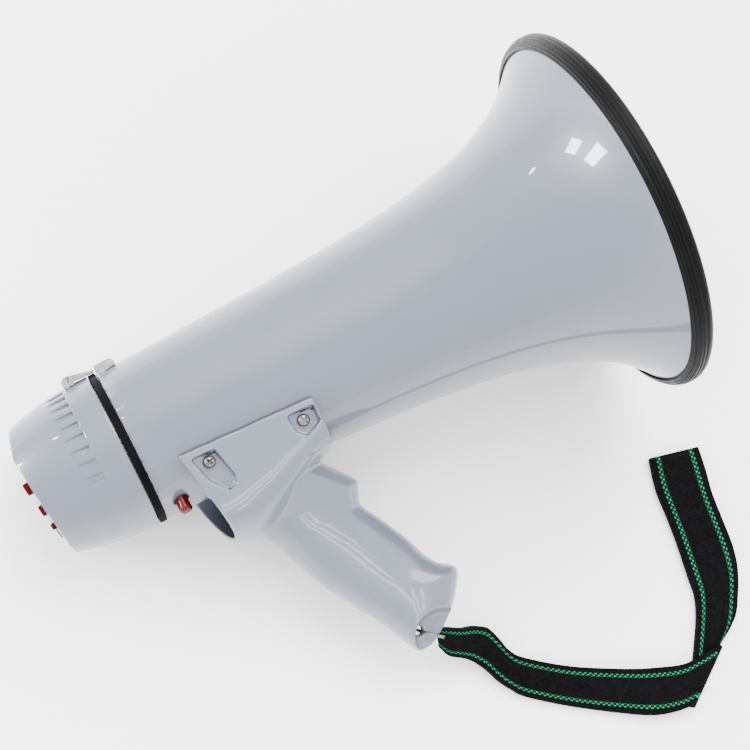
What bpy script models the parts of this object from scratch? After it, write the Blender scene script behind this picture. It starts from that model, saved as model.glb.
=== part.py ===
"""Handheld megaphone with a pistol grip, lying on its side as it comes to rest on a table.

The parts are laid out in the megaphone's own frame: +X runs along the horn towards the mouth, +Z is
away from the grip, +Y is the side that lies down, and the origin is on the horn's axis at the joint
between the rear cap and the barrel. The empty `resting_pose` turns that frame onto the table.
Lengths are in metres.
"""

import math

import bmesh
import bpy
from mathutils import Matrix, Vector

OBJECT_NAME = "handheld_megaphone"
GAP = 0.0003  # clearance between neighbouring pieces
MERGE = 1e-5
ROUND_STEPS = 40  # facets round the large turned pieces
SMALL_STEPS = 12  # facets round pins, screws and buttons

# How the megaphone rests: tilt of the horn's axis, roll about it, and the lift that puts it on z = 0
REST_PITCH = math.radians(-11.48)
REST_ROLL = math.radians(-77.34)
REST_PLACE = (-0.09876, 0.05786, 0.03451)

# Horn moulding: a slightly tapered barrel that flares as an exponential, with a tighter curl at the lip
BARREL_RADIUS = 0.0316
BARREL_TAPER = 0.040
FLARE_X = 0.220
FLARE_GAIN, FLARE_LENGTH = 0.0364, 0.0334
CURL_GAIN, CURL_LENGTH = 0.0037, 0.0090
HORN_REAR, HORN_FRONT = 0.0035, 0.2186
HORN_WALL = 0.0022
HORN_STATIONS = 11

# Rubber rim round the mouth
BELL_RADIUS = 0.0800
RIM_FRONT, RIM_REAR = 0.2244, 0.2157
RIM_INNER = 0.0736

# Seal band and rear cap
BAND_RADIUS, BAND_INNER = 0.0326, 0.0296
BAND_REAR, BAND_FRONT = 0.0003, 0.0032
CAP_RADIUS = 0.0326
CAP_SHRINK, CAP_SHRINK_X, CAP_SHRINK_POWER = 0.0046, 0.0336, 2.2
CAP_WALL = 0.0022
CAP_LENGTH = 0.0450  # before the sloping end is cut
SPIGOT_OUTER, SPIGOT_INNER, SPIGOT_FRONT = 0.0292, 0.0279, 0.0065
PANEL_X = -0.0375  # where the cap's sloping end crosses the axis
PANEL_TILT = math.atan(0.122)
TOP_CHAMFER_Z, TOP_CHAMFER_TILT = 0.0150, math.radians(-21)

# Vent recesses in the cap
VENT_COUNT, VENT_PITCH, VENT_FIRST = 9, math.radians(10), math.radians(-9)
VENT_FRONT, VENT_FLOOR, VENT_WIDTH = -0.0113, 0.0312, 0.0030

# Rear panel and its controls; "up" is measured along the panel from the horn's axis
PANEL_UP, PANEL_RADIUS, PANEL_RISE, PANEL_BACK = -0.0065, 0.0200, 0.0017, -0.0020
CONTROL_Y = -0.0105
BUTTON_UPS = (0.0031, -0.0069)
BUTTON_SIZES = (0.0050, 0.0045)
BUTTON_TOPS, BUTTON_TRAVEL = (0.0028, 0.0025), 0.0014
SLIDER_UP, SLIDER_HEIGHT, SLIDER_WIDTH, SLIDER_TOP = -0.0143, 0.0026, 0.0034, 0.0023
MIC_UP, MIC_Y, MIC_RADIUS = -0.0040, 0.0045, 0.0062
DIAL_UP, DIAL_Y, DIAL_RADIUS = -0.0155, 0.0090, 0.0050
PANEL_SCREWS = ((0.0098, 0.0035), (-0.0238, -0.0030))

# Saddle under the barrel
SADDLE_REAR, SADDLE_FRONT = 0.0120, 0.0727
SADDLE_WALL = 0.0022
# The saddle's open rear edge: where it crosses below the axis, its lean, and its skew towards the far side
SADDLE_CUT_X, SADDLE_SLOPE, SADDLE_SKEW = 0.0124, math.atan(0.20), math.atan(0.063)
# (x, side half width, height of the top edge, where the side starts to curve in, depth)
SADDLE_SECTIONS = (
    (0.0120, 0.0321, -0.0112, -0.0298, -0.0520),
    (0.0225, 0.0324, -0.0117, -0.0310, -0.0529),
    (0.0280, 0.0326, -0.0120, -0.0315, -0.0541),
    (0.0350, 0.0328, -0.0123, -0.0318, -0.0546),
    (0.0440, 0.0330, -0.0127, -0.0310, -0.0520),
    (0.0530, 0.0333, -0.0130, -0.0290, -0.0470),
    (0.0620, 0.0336, -0.0134, -0.0265, -0.0420),
    (0.0727, 0.0340, -0.0139, -0.0230, -0.0370),
)

# Pistol grip, as level sections: (z, rear edge, front edge, half width)
GRIP_SECTIONS = (
    (-0.0370, 0.0370, 0.0655, 0.0285),
    (-0.0420, 0.0352, 0.0699, 0.0262),
    (-0.0520, 0.0343, 0.0776, 0.0192),
    (-0.0550, 0.0345, 0.0776, 0.0178),
    (-0.0590, 0.0360, 0.0760, 0.0166),
    (-0.0630, 0.0382, 0.0753, 0.0158),
    (-0.0713, 0.0412, 0.0798, 0.0150),
    (-0.0827, 0.0457, 0.0856, 0.0147),
    (-0.0930, 0.0514, 0.0897, 0.0147),
    (-0.0980, 0.0543, 0.0932, 0.0149),
    (-0.1012, 0.0562, 0.0976, 0.0150),
    (-0.1040, 0.0579, 0.0989, 0.0149),
    (-0.1080, 0.0603, 0.0968, 0.0146),
    (-0.1130, 0.0631, 0.0931, 0.0138),
    (-0.1180, 0.0653, 0.0882, 0.0124),
    (-0.1222, 0.0672, 0.0828, 0.0102),
    (-0.1250, 0.0686, 0.0782, 0.0076),
    (-0.1265, 0.0702, 0.0752, 0.0040),
)
GRIP_WALL = 0.0023
GRIP_HOLLOW_END = -0.1015
GRIP_POINTS = 20

# Saddle screws: (x, z) on each side, and their pockets as outlines seen from the side
SADDLE_SCREWS = ((0.0265, -0.0187), (0.0659, -0.0206))
REAR_POCKET = ((0.0201, -0.0147), (0.0300, -0.0150), (0.0329, -0.0275), (0.0316, -0.0308),
               (0.0285, -0.0320), (0.0232, -0.0252))
FRONT_POCKET = ((0.0605, -0.0163), (0.0716, -0.0166), (0.0716, -0.0236), (0.0642, -0.0268),
                (0.0610, -0.0234))
POCKET_FLOORS = (0.0302, 0.0316)  # distances of the pocket floors from the mid-plane
SCREW_HEAD_RADIUS, SCREW_HEAD_HEIGHT, SCREW_SHANK = 0.0028, 0.0019, 0.0013
GRIP_SCREWS = ((0.0560, -0.0670), (0.0690, -0.0900), (0.0800, -0.1060))

# Talk button, low on the barrel behind the saddle
TALK_X, TALK_ANGLE = 0.0110, math.radians(58)
TALK_RADIUS, TALK_TIP = 0.0026, 0.0380

# Re-entrant horn and driver
REFLECTOR_REAR, REFLECTOR_FRONT, REFLECTOR_RADIUS = 0.1500, 0.2020, 0.0290
REFLECTOR_WALL = 0.0018
STRUT_COUNT, STRUT_THICKNESS = 3, 0.0026
THROAT_REAR, THROAT_FRONT = 0.1372, 0.1880
DRIVER_REAR, DRIVER_FRONT, DRIVER_RADIUS = 0.1100, 0.1369, 0.0285

# Power: four C cells in two columns
CELL_RADIUS, CELL_LENGTH, CELL_OFFSET = 0.0131, 0.0500, 0.0134
CELL_REAR = 0.0020
SLEEVE_REAR, SLEEVE_FRONT = 0.0165, 0.1086

# Strap ring through the end of the grip
RING_HOLE = (0.0729, -0.1185)
RING_RADIUS, RING_WIRE, RING_HOLE_RADIUS = 0.0058, 0.0013, 0.0021
RING_DIRECTION = math.radians(-42)
LUG_HALF = 0.0030

# Wrist strap lying on the table: (x, y, height of its middle, half width), from the ring outwards,
# measured from the point on the table under the megaphone's own origin
STRAP_THICKNESS = 0.0032
STRAP_PATH = (
    (0.0885, -0.1252, 0.0180, 0.0050),
    (0.1000, -0.1300, 0.0122, 0.0066),
    (0.1076, -0.1400, 0.0066, 0.0076),
    (0.1155, -0.1505, 0.0034, 0.0082),
    (0.1250, -0.1590, 0.0020, 0.0088),
    (0.1390, -0.1687, 0.0019, 0.0095),
    (0.1560, -0.1783, 0.0019, 0.0099),
    (0.1730, -0.1853, 0.0019, 0.0100),
    (0.1880, -0.1862, 0.0019, 0.0096),
    (0.2010, -0.1790, 0.0019, 0.0096),
    (0.2090, -0.1700, 0.0020, 0.0100),
    (0.2140, -0.1600, 0.0022, 0.0102),
    (0.2180, -0.1480, 0.0024, 0.0102),
    (0.2216, -0.1350, 0.0024, 0.0102),
    (0.2254, -0.1180, 0.0022, 0.0102),
    (0.2290, -0.1040, 0.0020, 0.0102),
    (0.2312, -0.0962, 0.0019, 0.0100),
)

LIGHT_GREY = (0.46, 0.49, 0.55, 1)
BLACK = (0.012, 0.012, 0.013, 1)
RED = (0.42, 0.01, 0.012, 1)
CLEAR = (0.80, 0.82, 0.83, 1)
STEEL = (0.62, 0.61, 0.58, 1)
DARK_GREY = (0.05, 0.05, 0.055, 1)
CELL_BLUE = (0.05, 0.09, 0.22, 1)
BOARD_GREEN = (0.02, 0.16, 0.07, 1)

# (roughness, metallic) of each finish
PLASTIC, RUBBER_FINISH, METAL, MATTE = (0.25, 0.0), (0.7, 0.0), (0.3, 1.0), (0.6, 0.0)

materials = {}


# ---------------------------------------------------------------- scene helpers


def clear_scene():
    for obj in list(bpy.data.objects):
        bpy.data.objects.remove(obj, do_unlink=True)


def new_collection(name):
    collection = bpy.data.collections.new(name)
    bpy.context.scene.collection.children.link(collection)
    return collection


def new_empty(name, parent=None, location=(0, 0, 0), rotation=(0, 0, 0)):
    empty = bpy.data.objects.new(name, None)
    empty.empty_display_size = 0.02
    empty.location = location
    empty.rotation_euler = rotation
    empty.parent = parent
    parts.objects.link(empty)
    return empty


def finish_material(name, color, finish):
    """One Principled material for each name."""
    if name not in materials:
        material = bpy.data.materials.new(name)
        material.use_nodes = True
        shader = material.node_tree.nodes["Principled BSDF"]
        shader.inputs["Base Color"].default_value = color
        shader.inputs["Roughness"].default_value = finish[0]
        shader.inputs["Metallic"].default_value = finish[1]
        material.diffuse_color = color
        materials[name] = material
    return materials[name]


def place(name, mesh, parent, location=(0, 0, 0), rotation=(0, 0, 0), material=None):
    """A part from a mesh, or a cutter when it has no material."""
    obj = bpy.data.objects.new(name, mesh)
    obj.parent = parent
    obj.location = location
    obj.rotation_euler = rotation
    if material is None:
        cutters.objects.link(obj)
        obj.hide_render = True
        obj.display_type = "WIRE"
    else:
        parts.objects.link(obj)
        mesh.materials.clear()
        mesh.materials.append(material)
        mesh.shade_smooth()
        mesh.set_sharp_from_angle(angle=math.radians(35))
    return obj


def combine(obj, other, operation):
    boolean = obj.modifiers.new(f"{operation.lower()}_{other.name}", "BOOLEAN")
    boolean.operation = operation
    boolean.solver = "EXACT"
    boolean.object = other


def cut(obj, *others):
    for other in others:
        combine(obj, other, "DIFFERENCE")


def join(obj, *others):
    for other in others:
        combine(obj, other, "UNION")


def bevel(obj, width, segments=1):
    modifier = obj.modifiers.new("rounded_edges", "BEVEL")
    modifier.width = width
    modifier.segments = segments
    modifier.limit_method = "ANGLE"


# ---------------------------------------------------------------- mesh helpers


def box_mesh(name, low, high):
    mesh = bpy.data.meshes.new(name)
    shape = bmesh.new()
    bmesh.ops.create_cube(shape, size=1)
    low, high = Vector(low), Vector(high)
    for vertex in shape.verts:
        for axis in range(3):
            vertex.co[axis] = high[axis] if vertex.co[axis] > 0 else low[axis]
    shape.to_mesh(mesh)
    shape.free()
    return mesh


def cylinder_mesh(name, radius, low, high, steps=SMALL_STEPS, top_radius=None):
    """A cylinder or cone along local Z from low to high."""
    mesh = bpy.data.meshes.new(name)
    shape = bmesh.new()
    bmesh.ops.create_cone(shape, cap_ends=True, segments=steps, radius1=radius,
                          radius2=radius if top_radius is None else top_radius, depth=high - low)
    bmesh.ops.translate(shape, verts=shape.verts, vec=(0, 0, (low + high) / 2))
    shape.to_mesh(mesh)
    shape.free()
    return mesh


def loft_mesh(name, sections):
    """A closed skin over sections of equal length, the first and the last capped."""
    mesh = bpy.data.meshes.new(name)
    shape = bmesh.new()
    rings = [[shape.verts.new(point) for point in section] for section in sections]
    for ring, following in zip(rings, rings[1:]):
        for i, vertex in enumerate(ring):
            j = (i + 1) % len(ring)
            shape.faces.new((vertex, ring[j], following[j], following[i]))
    shape.faces.new(rings[0])
    shape.faces.new(rings[-1])
    bmesh.ops.triangulate(shape, faces=[face for face in shape.faces if len(face.verts) == 4])
    bmesh.ops.recalc_face_normals(shape, faces=shape.faces)
    shape.to_mesh(mesh)
    shape.free()
    return mesh


def outline_mesh(name, outline, depth):
    """A flat outline in XZ, extruded along Y from 0 to depth."""
    near = [Vector((x, 0, z)) for x, z in outline]
    far = [point + Vector((0, depth, 0)) for point in near]
    return loft_mesh(name, (near, far))


def turned(name, profile, parent, material=None, steps=ROUND_STEPS, closed=True):
    """Turns (x, radius) points about the X axis. They run from the front back along the outside."""
    mesh = bpy.data.meshes.new(name)
    shape = bmesh.new()
    points = [shape.verts.new((radius, 0, x)) for x, radius in profile]
    for first, second in zip(points, points[1:]):
        shape.edges.new((first, second))
    if closed:
        shape.edges.new((points[-1], points[0]))
    shape.to_mesh(mesh)
    shape.free()
    obj = place(name, mesh, parent, rotation=(0, math.pi / 2, 0), material=material)
    screw = obj.modifiers.new("turning", "SCREW")
    screw.axis = "Z"
    screw.steps = screw.render_steps = steps
    screw.use_merge_vertices = True
    screw.merge_threshold = MERGE
    screw.use_smooth_shade = True
    return obj


def disc(name, radius, rear, front, parent, material=None, inner=0.0, steps=ROUND_STEPS):
    """A plain ring or disc about the X axis."""
    if inner:
        profile = ((front, radius), (rear, radius), (rear, inner), (front, inner))
        return turned(name, profile, parent, material, steps)
    profile = ((front, 0), (front, radius), (rear, radius), (rear, 0))
    return turned(name, profile, parent, material, steps, closed=False)


def tube(name, points, wire, parent, material, cyclic=False, sides=1):
    """A round wire along points."""
    curve = bpy.data.curves.new(name, "CURVE")
    curve.dimensions = "3D"
    curve.bevel_depth = wire / 2
    curve.bevel_resolution = sides
    curve.use_fill_caps = not cyclic
    spline = curve.splines.new("POLY")
    spline.points.add(len(points) - 1)
    for target, point in zip(spline.points, points):
        target.co = (*point, 1)
    spline.use_cyclic_u = cyclic
    obj = bpy.data.objects.new(name, curve)
    curve.materials.append(material)
    obj.parent = parent
    parts.objects.link(obj)
    return obj


def coil_points(start, end, radius, turns, per_turn=10):
    """A helix about the line from start to end, along X."""
    count = int(turns * per_turn)
    points = []
    for i in range(count + 1):
        angle = 2 * math.pi * i / per_turn
        x = start[0] + (end[0] - start[0]) * i / count
        points.append((x, start[1] + radius * math.cos(angle), start[2] + radius * math.sin(angle)))
    return points


# ---------------------------------------------------------------- shapes that several parts share


def horn_radius(x):
    flare = FLARE_GAIN * math.exp((x - FLARE_X) / FLARE_LENGTH)
    curl = CURL_GAIN * math.exp((x - FLARE_X) / CURL_LENGTH)
    return BARREL_RADIUS + BARREL_TAPER * x + flare + curl


def horn_point(x, offset=0.0):
    """A point of the horn's outline, moved outwards by offset along its normal."""
    step = 1e-5
    angle = math.atan((horn_radius(x + step) - horn_radius(x - step)) / (2 * step))
    return x - offset * math.sin(angle), horn_radius(x) + offset * math.cos(angle)


def horn_stations():
    """Places along the horn, closer together where it flares."""
    span = HORN_FRONT - HORN_REAR
    return [HORN_REAR + span * (1 - (1 - i / HORN_STATIONS) ** 1.9) for i in range(HORN_STATIONS + 1)]


def cap_radius(x):
    return CAP_RADIUS - CAP_SHRINK * (abs(x) / CAP_SHRINK_X) ** CAP_SHRINK_POWER


def side_screw(name, x, z, side, seat, parent, length):
    """A pan-head screw along Y with its head's underside at seat from the mid-plane."""
    profile = ((SCREW_HEAD_HEIGHT, 0), (SCREW_HEAD_HEIGHT, 0.0016), (0.0012, 0.0025),
               (0, SCREW_HEAD_RADIUS), (0, SCREW_SHANK), (-length, SCREW_SHANK), (-length, 0))
    screw = turned(name, profile, parent, finish_material("steel", STEEL, METAL), SMALL_STEPS,
                   closed=False)
    screw.location = (x, side * seat, z)
    screw.rotation_euler = (-side * math.pi / 2, 0, 0)
    return screw


# ---------------------------------------------------------------- horn


def make_horn(pose):
    stations = horn_stations()
    outer = [horn_point(x) for x in reversed(stations)]
    inner = [horn_point(x, -HORN_WALL) for x in stations]
    horn = turned("horn_shell", outer + inner, pose, finish_material("body_plastic", LIGHT_GREY,
                                                                     PLASTIC))
    for index, (x, z) in enumerate(SADDLE_SCREWS):
        for side in (-1, 1):
            barrel = math.sqrt(horn_radius(x) ** 2 - z ** 2)
            boss = place(f"screw_boss_{index}_{side}", cylinder_mesh("screw_boss", 0.0028, -0.0065,
                                                                     -0.0026),
                         pose, (x, side * barrel, z), (-side * math.pi / 2, 0, 0))
            hole = place(f"screw_bore_{index}_{side}", cylinder_mesh("screw_bore",
                                                                     SCREW_SHANK + GAP, -0.01, 0.01),
                         pose, (x, side * barrel, z), (math.pi / 2, 0, 0))
            join(horn, boss)
            cut(horn, hole)
    cut(horn, place("talk_opening", cylinder_mesh("talk_opening", 0.0042, 0.020, 0.040), talk_frame))
    return horn


def make_rim(pose):
    back = [horn_point(x, GAP) for x in (0.2163, HORN_FRONT)]
    front = [horn_point(x, -HORN_WALL - GAP) for x in (HORN_FRONT, 0.2163)]
    lip_x, lip_radius = back[-1]
    profile = [(RIM_FRONT, 0.0776), (0.2239, 0.0792), (0.2224, BELL_RADIUS), (0.2198, BELL_RADIUS),
               (0.2176, 0.0791), (0.2163, 0.0775), (RIM_REAR, 0.0757)]
    profile += back + [(lip_x + GAP, lip_radius + GAP), (front[0][0] + GAP, front[0][1] + GAP)]
    profile += front[1:] + [(0.2194, RIM_INNER), (0.2236, RIM_INNER), (RIM_FRONT, 0.0744)]
    return turned("bell_rim", profile, pose, finish_material("rubber", BLACK, RUBBER_FINISH), 40)


def make_reflector(pose):
    """Cup with a closed domed front that turns the sound back, on three struts."""
    length = REFLECTOR_FRONT - REFLECTOR_REAR
    outer, inner = [], []
    for i in range(8):
        share = i / 7
        bulge = math.sqrt(1 - share ** 4) if share < 1 else 0
        outer.append((REFLECTOR_REAR + length * share, REFLECTOR_RADIUS * (1 - 0.2 * share) * bulge))
        inner.append((REFLECTOR_REAR + (length - REFLECTOR_WALL) * share,
                      (REFLECTOR_RADIUS * (1 - 0.2 * share) - REFLECTOR_WALL) * bulge))
    reflector = turned("reflector", list(reversed(outer)) + inner, pose,
                       finish_material("body_plastic", LIGHT_GREY, PLASTIC), 24, closed=False)
    rear, front = 0.1525, 0.1680
    outline = ((rear, 0.0280), (front, 0.0265), (front, horn_point(front - 0.001,
                                                                   -HORN_WALL)[1] - 0.0008),
               (rear, horn_point(rear - 0.001, -HORN_WALL)[1] - 0.0008))
    for index in range(STRUT_COUNT):
        turn = 2 * math.pi * index / STRUT_COUNT + math.pi / 2
        mesh = outline_mesh("strut", outline, STRUT_THICKNESS)
        mesh.transform(Matrix.Translation((0, -STRUT_THICKNESS / 2, 0)))
        join(reflector, place(f"strut_{index}", mesh, pose, rotation=(turn, 0, 0)))
    return reflector


def make_throat(pose):
    flange = horn_point(THROAT_REAR, -HORN_WALL - GAP)[1]
    profile = [(THROAT_FRONT, 0.0135), (0.1600, 0.0100), (0.1400, 0.0092), (0.1398, flange),
               (THROAT_REAR, flange), (THROAT_REAR, 0.0070), (0.1600, 0.0082), (THROAT_FRONT, 0.0118)]
    return turned("throat_tube", profile, pose, finish_material("inner_plastic", DARK_GREY, MATTE), 24)


def make_driver(pose):
    steel = finish_material("steel", STEEL, METAL)
    cover = [(DRIVER_REAR + 0.0016, 0), (DRIVER_REAR + 0.0016, 0.0255), (DRIVER_REAR + 0.0030, 0.0269),
             (DRIVER_FRONT, 0.0269), (DRIVER_FRONT, DRIVER_RADIUS), (DRIVER_REAR + 0.0020,
                                                                     DRIVER_RADIUS),
             (DRIVER_REAR, 0.0265), (DRIVER_REAR, 0)]
    turned("driver_cover", cover, pose, finish_material("inner_plastic", DARK_GREY, MATTE), 24,
           closed=False)
    disc("driver_front_plate", 0.0240, 0.1310, 0.1345, pose, steel, inner=0.0108, steps=24)
    disc("driver_magnet", 0.0250, 0.1180, 0.1307, pose, finish_material("ferrite", DARK_GREY, MATTE),
         inner=0.0130, steps=24)
    yoke = ((0.1345, 0), (0.1345, 0.0092), (0.1177, 0.0092), (0.1177, 0.0230), (0.1140, 0.0230),
            (0.1140, 0))
    turned("driver_yoke", yoke, pose, steel, 24, closed=False)
    radii = (0, 0.0040, 0.0075, 0.0100, 0.0190)
    front = [(0.1356 + 0.0013 * max(0, 1 - (r / 0.0100) ** 2), r) for r in radii]
    dome = front + [(x - 0.0006, r) for x, r in reversed(front)]
    turned("diaphragm", dome, pose, finish_material("film", (0.55, 0.33, 0.12, 1), PLASTIC), 20,
           closed=False)


# ---------------------------------------------------------------- power


def obround_sections(half_span, radius, places):
    """Sections of two half circles joined by flats, wide along Y."""
    sections = []
    for x in places:
        ring = []
        for i in range(12):
            angle = -math.pi / 2 + math.pi * i / 11
            ring.append((x, half_span + radius * math.cos(angle), radius * math.sin(angle)))
        for i in range(12):
            angle = math.pi / 2 + math.pi * i / 11
            ring.append((x, -half_span + radius * math.cos(angle), radius * math.sin(angle)))
        sections.append(ring)
    return sections


def make_power(pose):
    steel = finish_material("steel", STEEL, METAL)
    sleeve = place("battery_sleeve", loft_mesh("sleeve", obround_sections(CELL_OFFSET, 0.0150,
                   (SLEEVE_REAR, SLEEVE_FRONT))), pose, material=finish_material("inner_plastic",
                                                                                 DARK_GREY, MATTE))
    cut(sleeve, place("sleeve_hollow", loft_mesh("hollow", obround_sections(CELL_OFFSET, 0.0135,
                      (0, SLEEVE_FRONT - 0.0016))), pose))
    blue = finish_material("cell_wrap", CELL_BLUE, PLASTIC)
    for column, side in enumerate((-1, 1)):
        for row in range(2):
            rear = CELL_REAR + row * (CELL_LENGTH + GAP)
            nub = CELL_LENGTH - 0.0015
            profile = ((nub, CELL_RADIUS), (0, CELL_RADIUS), (0, 0))
            if side < 0:
                profile = ((CELL_LENGTH, 0), (CELL_LENGTH, 0.0030), (nub, 0.0030)) + profile
            else:
                profile = ((CELL_LENGTH, 0), (CELL_LENGTH, CELL_RADIUS), (0.0015, CELL_RADIUS),
                           (0.0015, 0.0030), (0, 0.0030), (0, 0))
            cell = turned(f"battery_cell_{2 * column + row + 1}", profile, pose, blue, 20, closed=False)
            cell.location = (rear, side * CELL_OFFSET, 0)
    front = CELL_REAR + 2 * CELL_LENGTH + 2 * GAP
    place("battery_bridge", box_mesh("bridge", (SLEEVE_FRONT - 0.0024, -0.0210, -0.0060),
          (SLEEVE_FRONT - 0.0019, 0.0210, 0.0060)), pose, material=steel)
    for index, side in enumerate((-1, 1)):
        centre = side * CELL_OFFSET
        tube(f"battery_spring_{index + 1}", coil_points((front + 0.0006, centre, 0),
             (SLEEVE_FRONT - 0.0032, centre, 0), 0.0042, 2), 0.0007, pose, steel)


def make_leads(pose):
    """Two wires from the driver to the socket, under the battery sleeve."""
    for index, (color, shift) in enumerate(((RED, 0.0), (BLACK, 0.0032))):
        y = 0.0040 + shift
        route = [(0.1095, y, -0.0240), (0.1040, y, -0.0250), (0.0800, y, -0.0248), (0.0500, y, -0.0236),
                 (0.0300, y, -0.0228), (0.0160, y, -0.0220), (0.0128, y, -0.0218)]
        name = ("speaker_lead_positive", "speaker_lead_negative")[index]
        tube(name, route, 0.0014, pose, finish_material(f"wire_{index}", color, PLASTIC))
    place("link_socket", box_mesh("socket", (0.0050, 0.0015, -0.0248), (0.0125, 0.0098, -0.0186)), pose,
          material=finish_material("connector", CLEAR, MATTE))


# ---------------------------------------------------------------- talk button


def make_talk_button(pose):
    red = finish_material("red_plastic", RED, PLASTIC)
    button = ((TALK_TIP, 0), (TALK_TIP, 0.0017), (TALK_TIP - 0.0008, TALK_RADIUS),
              (0.0282, TALK_RADIUS),
              (0.0282, 0.0036), (0.0270, 0.0036), (0.0270, 0))
    turned_up("talk_button", button, red)
    collar = ((0.0323, 0.0036), (0.0287, 0.0039), (0.0287, TALK_RADIUS + GAP),
              (0.0323, TALK_RADIUS + GAP))
    turned_up("talk_button_collar", collar, finish_material("inner_plastic", DARK_GREY, MATTE),
              closed=True)
    place("talk_switch", box_mesh("switch", (-0.0045, -0.0032, 0.0190), (0.0045, 0.0032, 0.0248)),
          talk_frame, material=finish_material("switch_body", BLACK, MATTE))


def turned_up(name, profile, material, frame=None, closed=False, steps=SMALL_STEPS):
    """Like turned, but about the local Z axis of a frame: the profile's first value is the height."""
    obj = turned(name, profile, frame or talk_frame, material, steps, closed)
    obj.rotation_euler = (0, 0, 0)
    return obj


# ---------------------------------------------------------------- rear cap


def cap_outline(offset, rear):
    places = [-0.0003, -0.006, -0.012, -0.018, -0.024, -0.030, -0.036, rear]
    return [(x, cap_radius(x) - offset) for x in places]


def make_cap(cap_frame):
    body = finish_material("body_plastic", LIGHT_GREY, PLASTIC)
    outer = cap_outline(0, -CAP_LENGTH)
    profile = [(SPIGOT_FRONT, 0), (SPIGOT_FRONT, SPIGOT_OUTER), (-0.0003, SPIGOT_OUTER)] + outer
    cap = turned("rear_cap", profile + [(-CAP_LENGTH, 0)], cap_frame, body, closed=False)
    slope = place("cap_slope", box_mesh("slope", (-0.05, -0.05, 0), (0.05, 0.05, 0.03)), panel_frame)
    top = place("cap_top_slope", box_mesh("top_slope", (0, -0.05, 0), (0.05, 0.05, 0.03)), panel_frame,
                (TOP_CHAMFER_Z, 0, 0), (0, -TOP_CHAMFER_TILT, 0))
    cut(cap, slope, top)
    hollow = [(SPIGOT_FRONT + 0.001, 0), (SPIGOT_FRONT + 0.001, SPIGOT_INNER), (-0.006, SPIGOT_INNER)]
    hollow += [(x, r) for x, r in cap_outline(CAP_WALL, -CAP_LENGTH) if -0.030 <= x < -0.006]
    hollow += [(-0.0325, cap_radius(-0.0325) - CAP_WALL), (-0.0325, 0)]
    cut(cap, turned("cap_hollow", hollow, cap_frame, closed=False))
    cut(cap, place("panel_window", cylinder_mesh("window", PANEL_RADIUS + GAP, -0.010, 0.010, 32),
                   panel_frame,
                   (PANEL_UP, 0, 0)))
    for index in range(2 * VENT_COUNT):
        side = -1 if index < VENT_COUNT else 1
        angle = VENT_FIRST + VENT_PITCH * (index % VENT_COUNT)
        turn = (math.pi - angle) if side < 0 else angle
        vent = place(f"vent_{index}", box_mesh("vent", (VENT_FRONT - 0.012, VENT_FLOOR,
                                                        -VENT_WIDTH / 2),
                     (VENT_FRONT, 0.040, VENT_WIDTH / 2)), cap_frame, rotation=(turn, 0, 0))
        cut(cap, vent)
    return cap


def panel_height(up, y):
    """Height of the domed panel above the cap's end."""
    away = math.hypot(up - PANEL_UP, y) / PANEL_RADIUS
    return PANEL_RISE * (1 - away ** 2)


def make_panel():
    dome = [(PANEL_RISE * (1 - (i / 5) ** 2), PANEL_RADIUS * i / 5) for i in range(6)]
    panel = turned_up("rear_panel", dome + [(PANEL_BACK, PANEL_RADIUS), (PANEL_BACK, 0)],
                      finish_material("body_plastic", LIGHT_GREY, PLASTIC), panel_frame, steps=32)
    panel.location = (PANEL_UP, 0, 0)
    for index, (up, size) in enumerate(zip(BUTTON_UPS, BUTTON_SIZES)):
        half = size / 2 + GAP
        cut(panel, place(f"button_opening_{index}", box_mesh("opening",
                                                             (up - half, CONTROL_Y - half, -0.01),
                         (up + half, CONTROL_Y + half, 0.01)), panel_frame))
    half = SLIDER_HEIGHT / 2 + GAP
    cut(panel, place("slider_opening", box_mesh("opening", (SLIDER_UP - half, CONTROL_Y - 0.0036,
                                                            -0.01),
                     (SLIDER_UP + half, CONTROL_Y + 0.0036, 0.01)), panel_frame),
        place("mic_opening", cylinder_mesh("mic_opening", MIC_RADIUS + GAP, -0.01, 0.01, 20),
              panel_frame,
              (MIC_UP, MIC_Y, 0)),
        place("dial_opening", cylinder_mesh("dial_opening", DIAL_RADIUS + GAP, -0.01, 0.01, 20),
              panel_frame,
              (DIAL_UP, DIAL_Y, 0)))
    head = ((0.0011, 0), (0.0010, 0.0010), (0.0006, 0.0016), (0, 0.0016), (0, 0.0010),
            (-0.0060, 0.0010),
            (-0.0060, 0))
    for index, (up, y) in enumerate(PANEL_SCREWS):
        seat = panel_height(up, y) - 0.0011
        cut(panel, place(f"panel_screw_seat_{index}", cylinder_mesh("seat", 0.0019, seat, 0.01),
                         panel_frame,
                         (up, y, 0)),
            place(f"panel_screw_bore_{index}", cylinder_mesh("bore", 0.0010 + GAP, -0.01, 0.01),
                  panel_frame,
                  (up, y, 0)))
        screw = turned_up(f"panel_screw_{index + 1}", head, finish_material("steel", STEEL, METAL),
                          panel_frame)
        screw.location = (up, y, seat + GAP)


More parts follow.
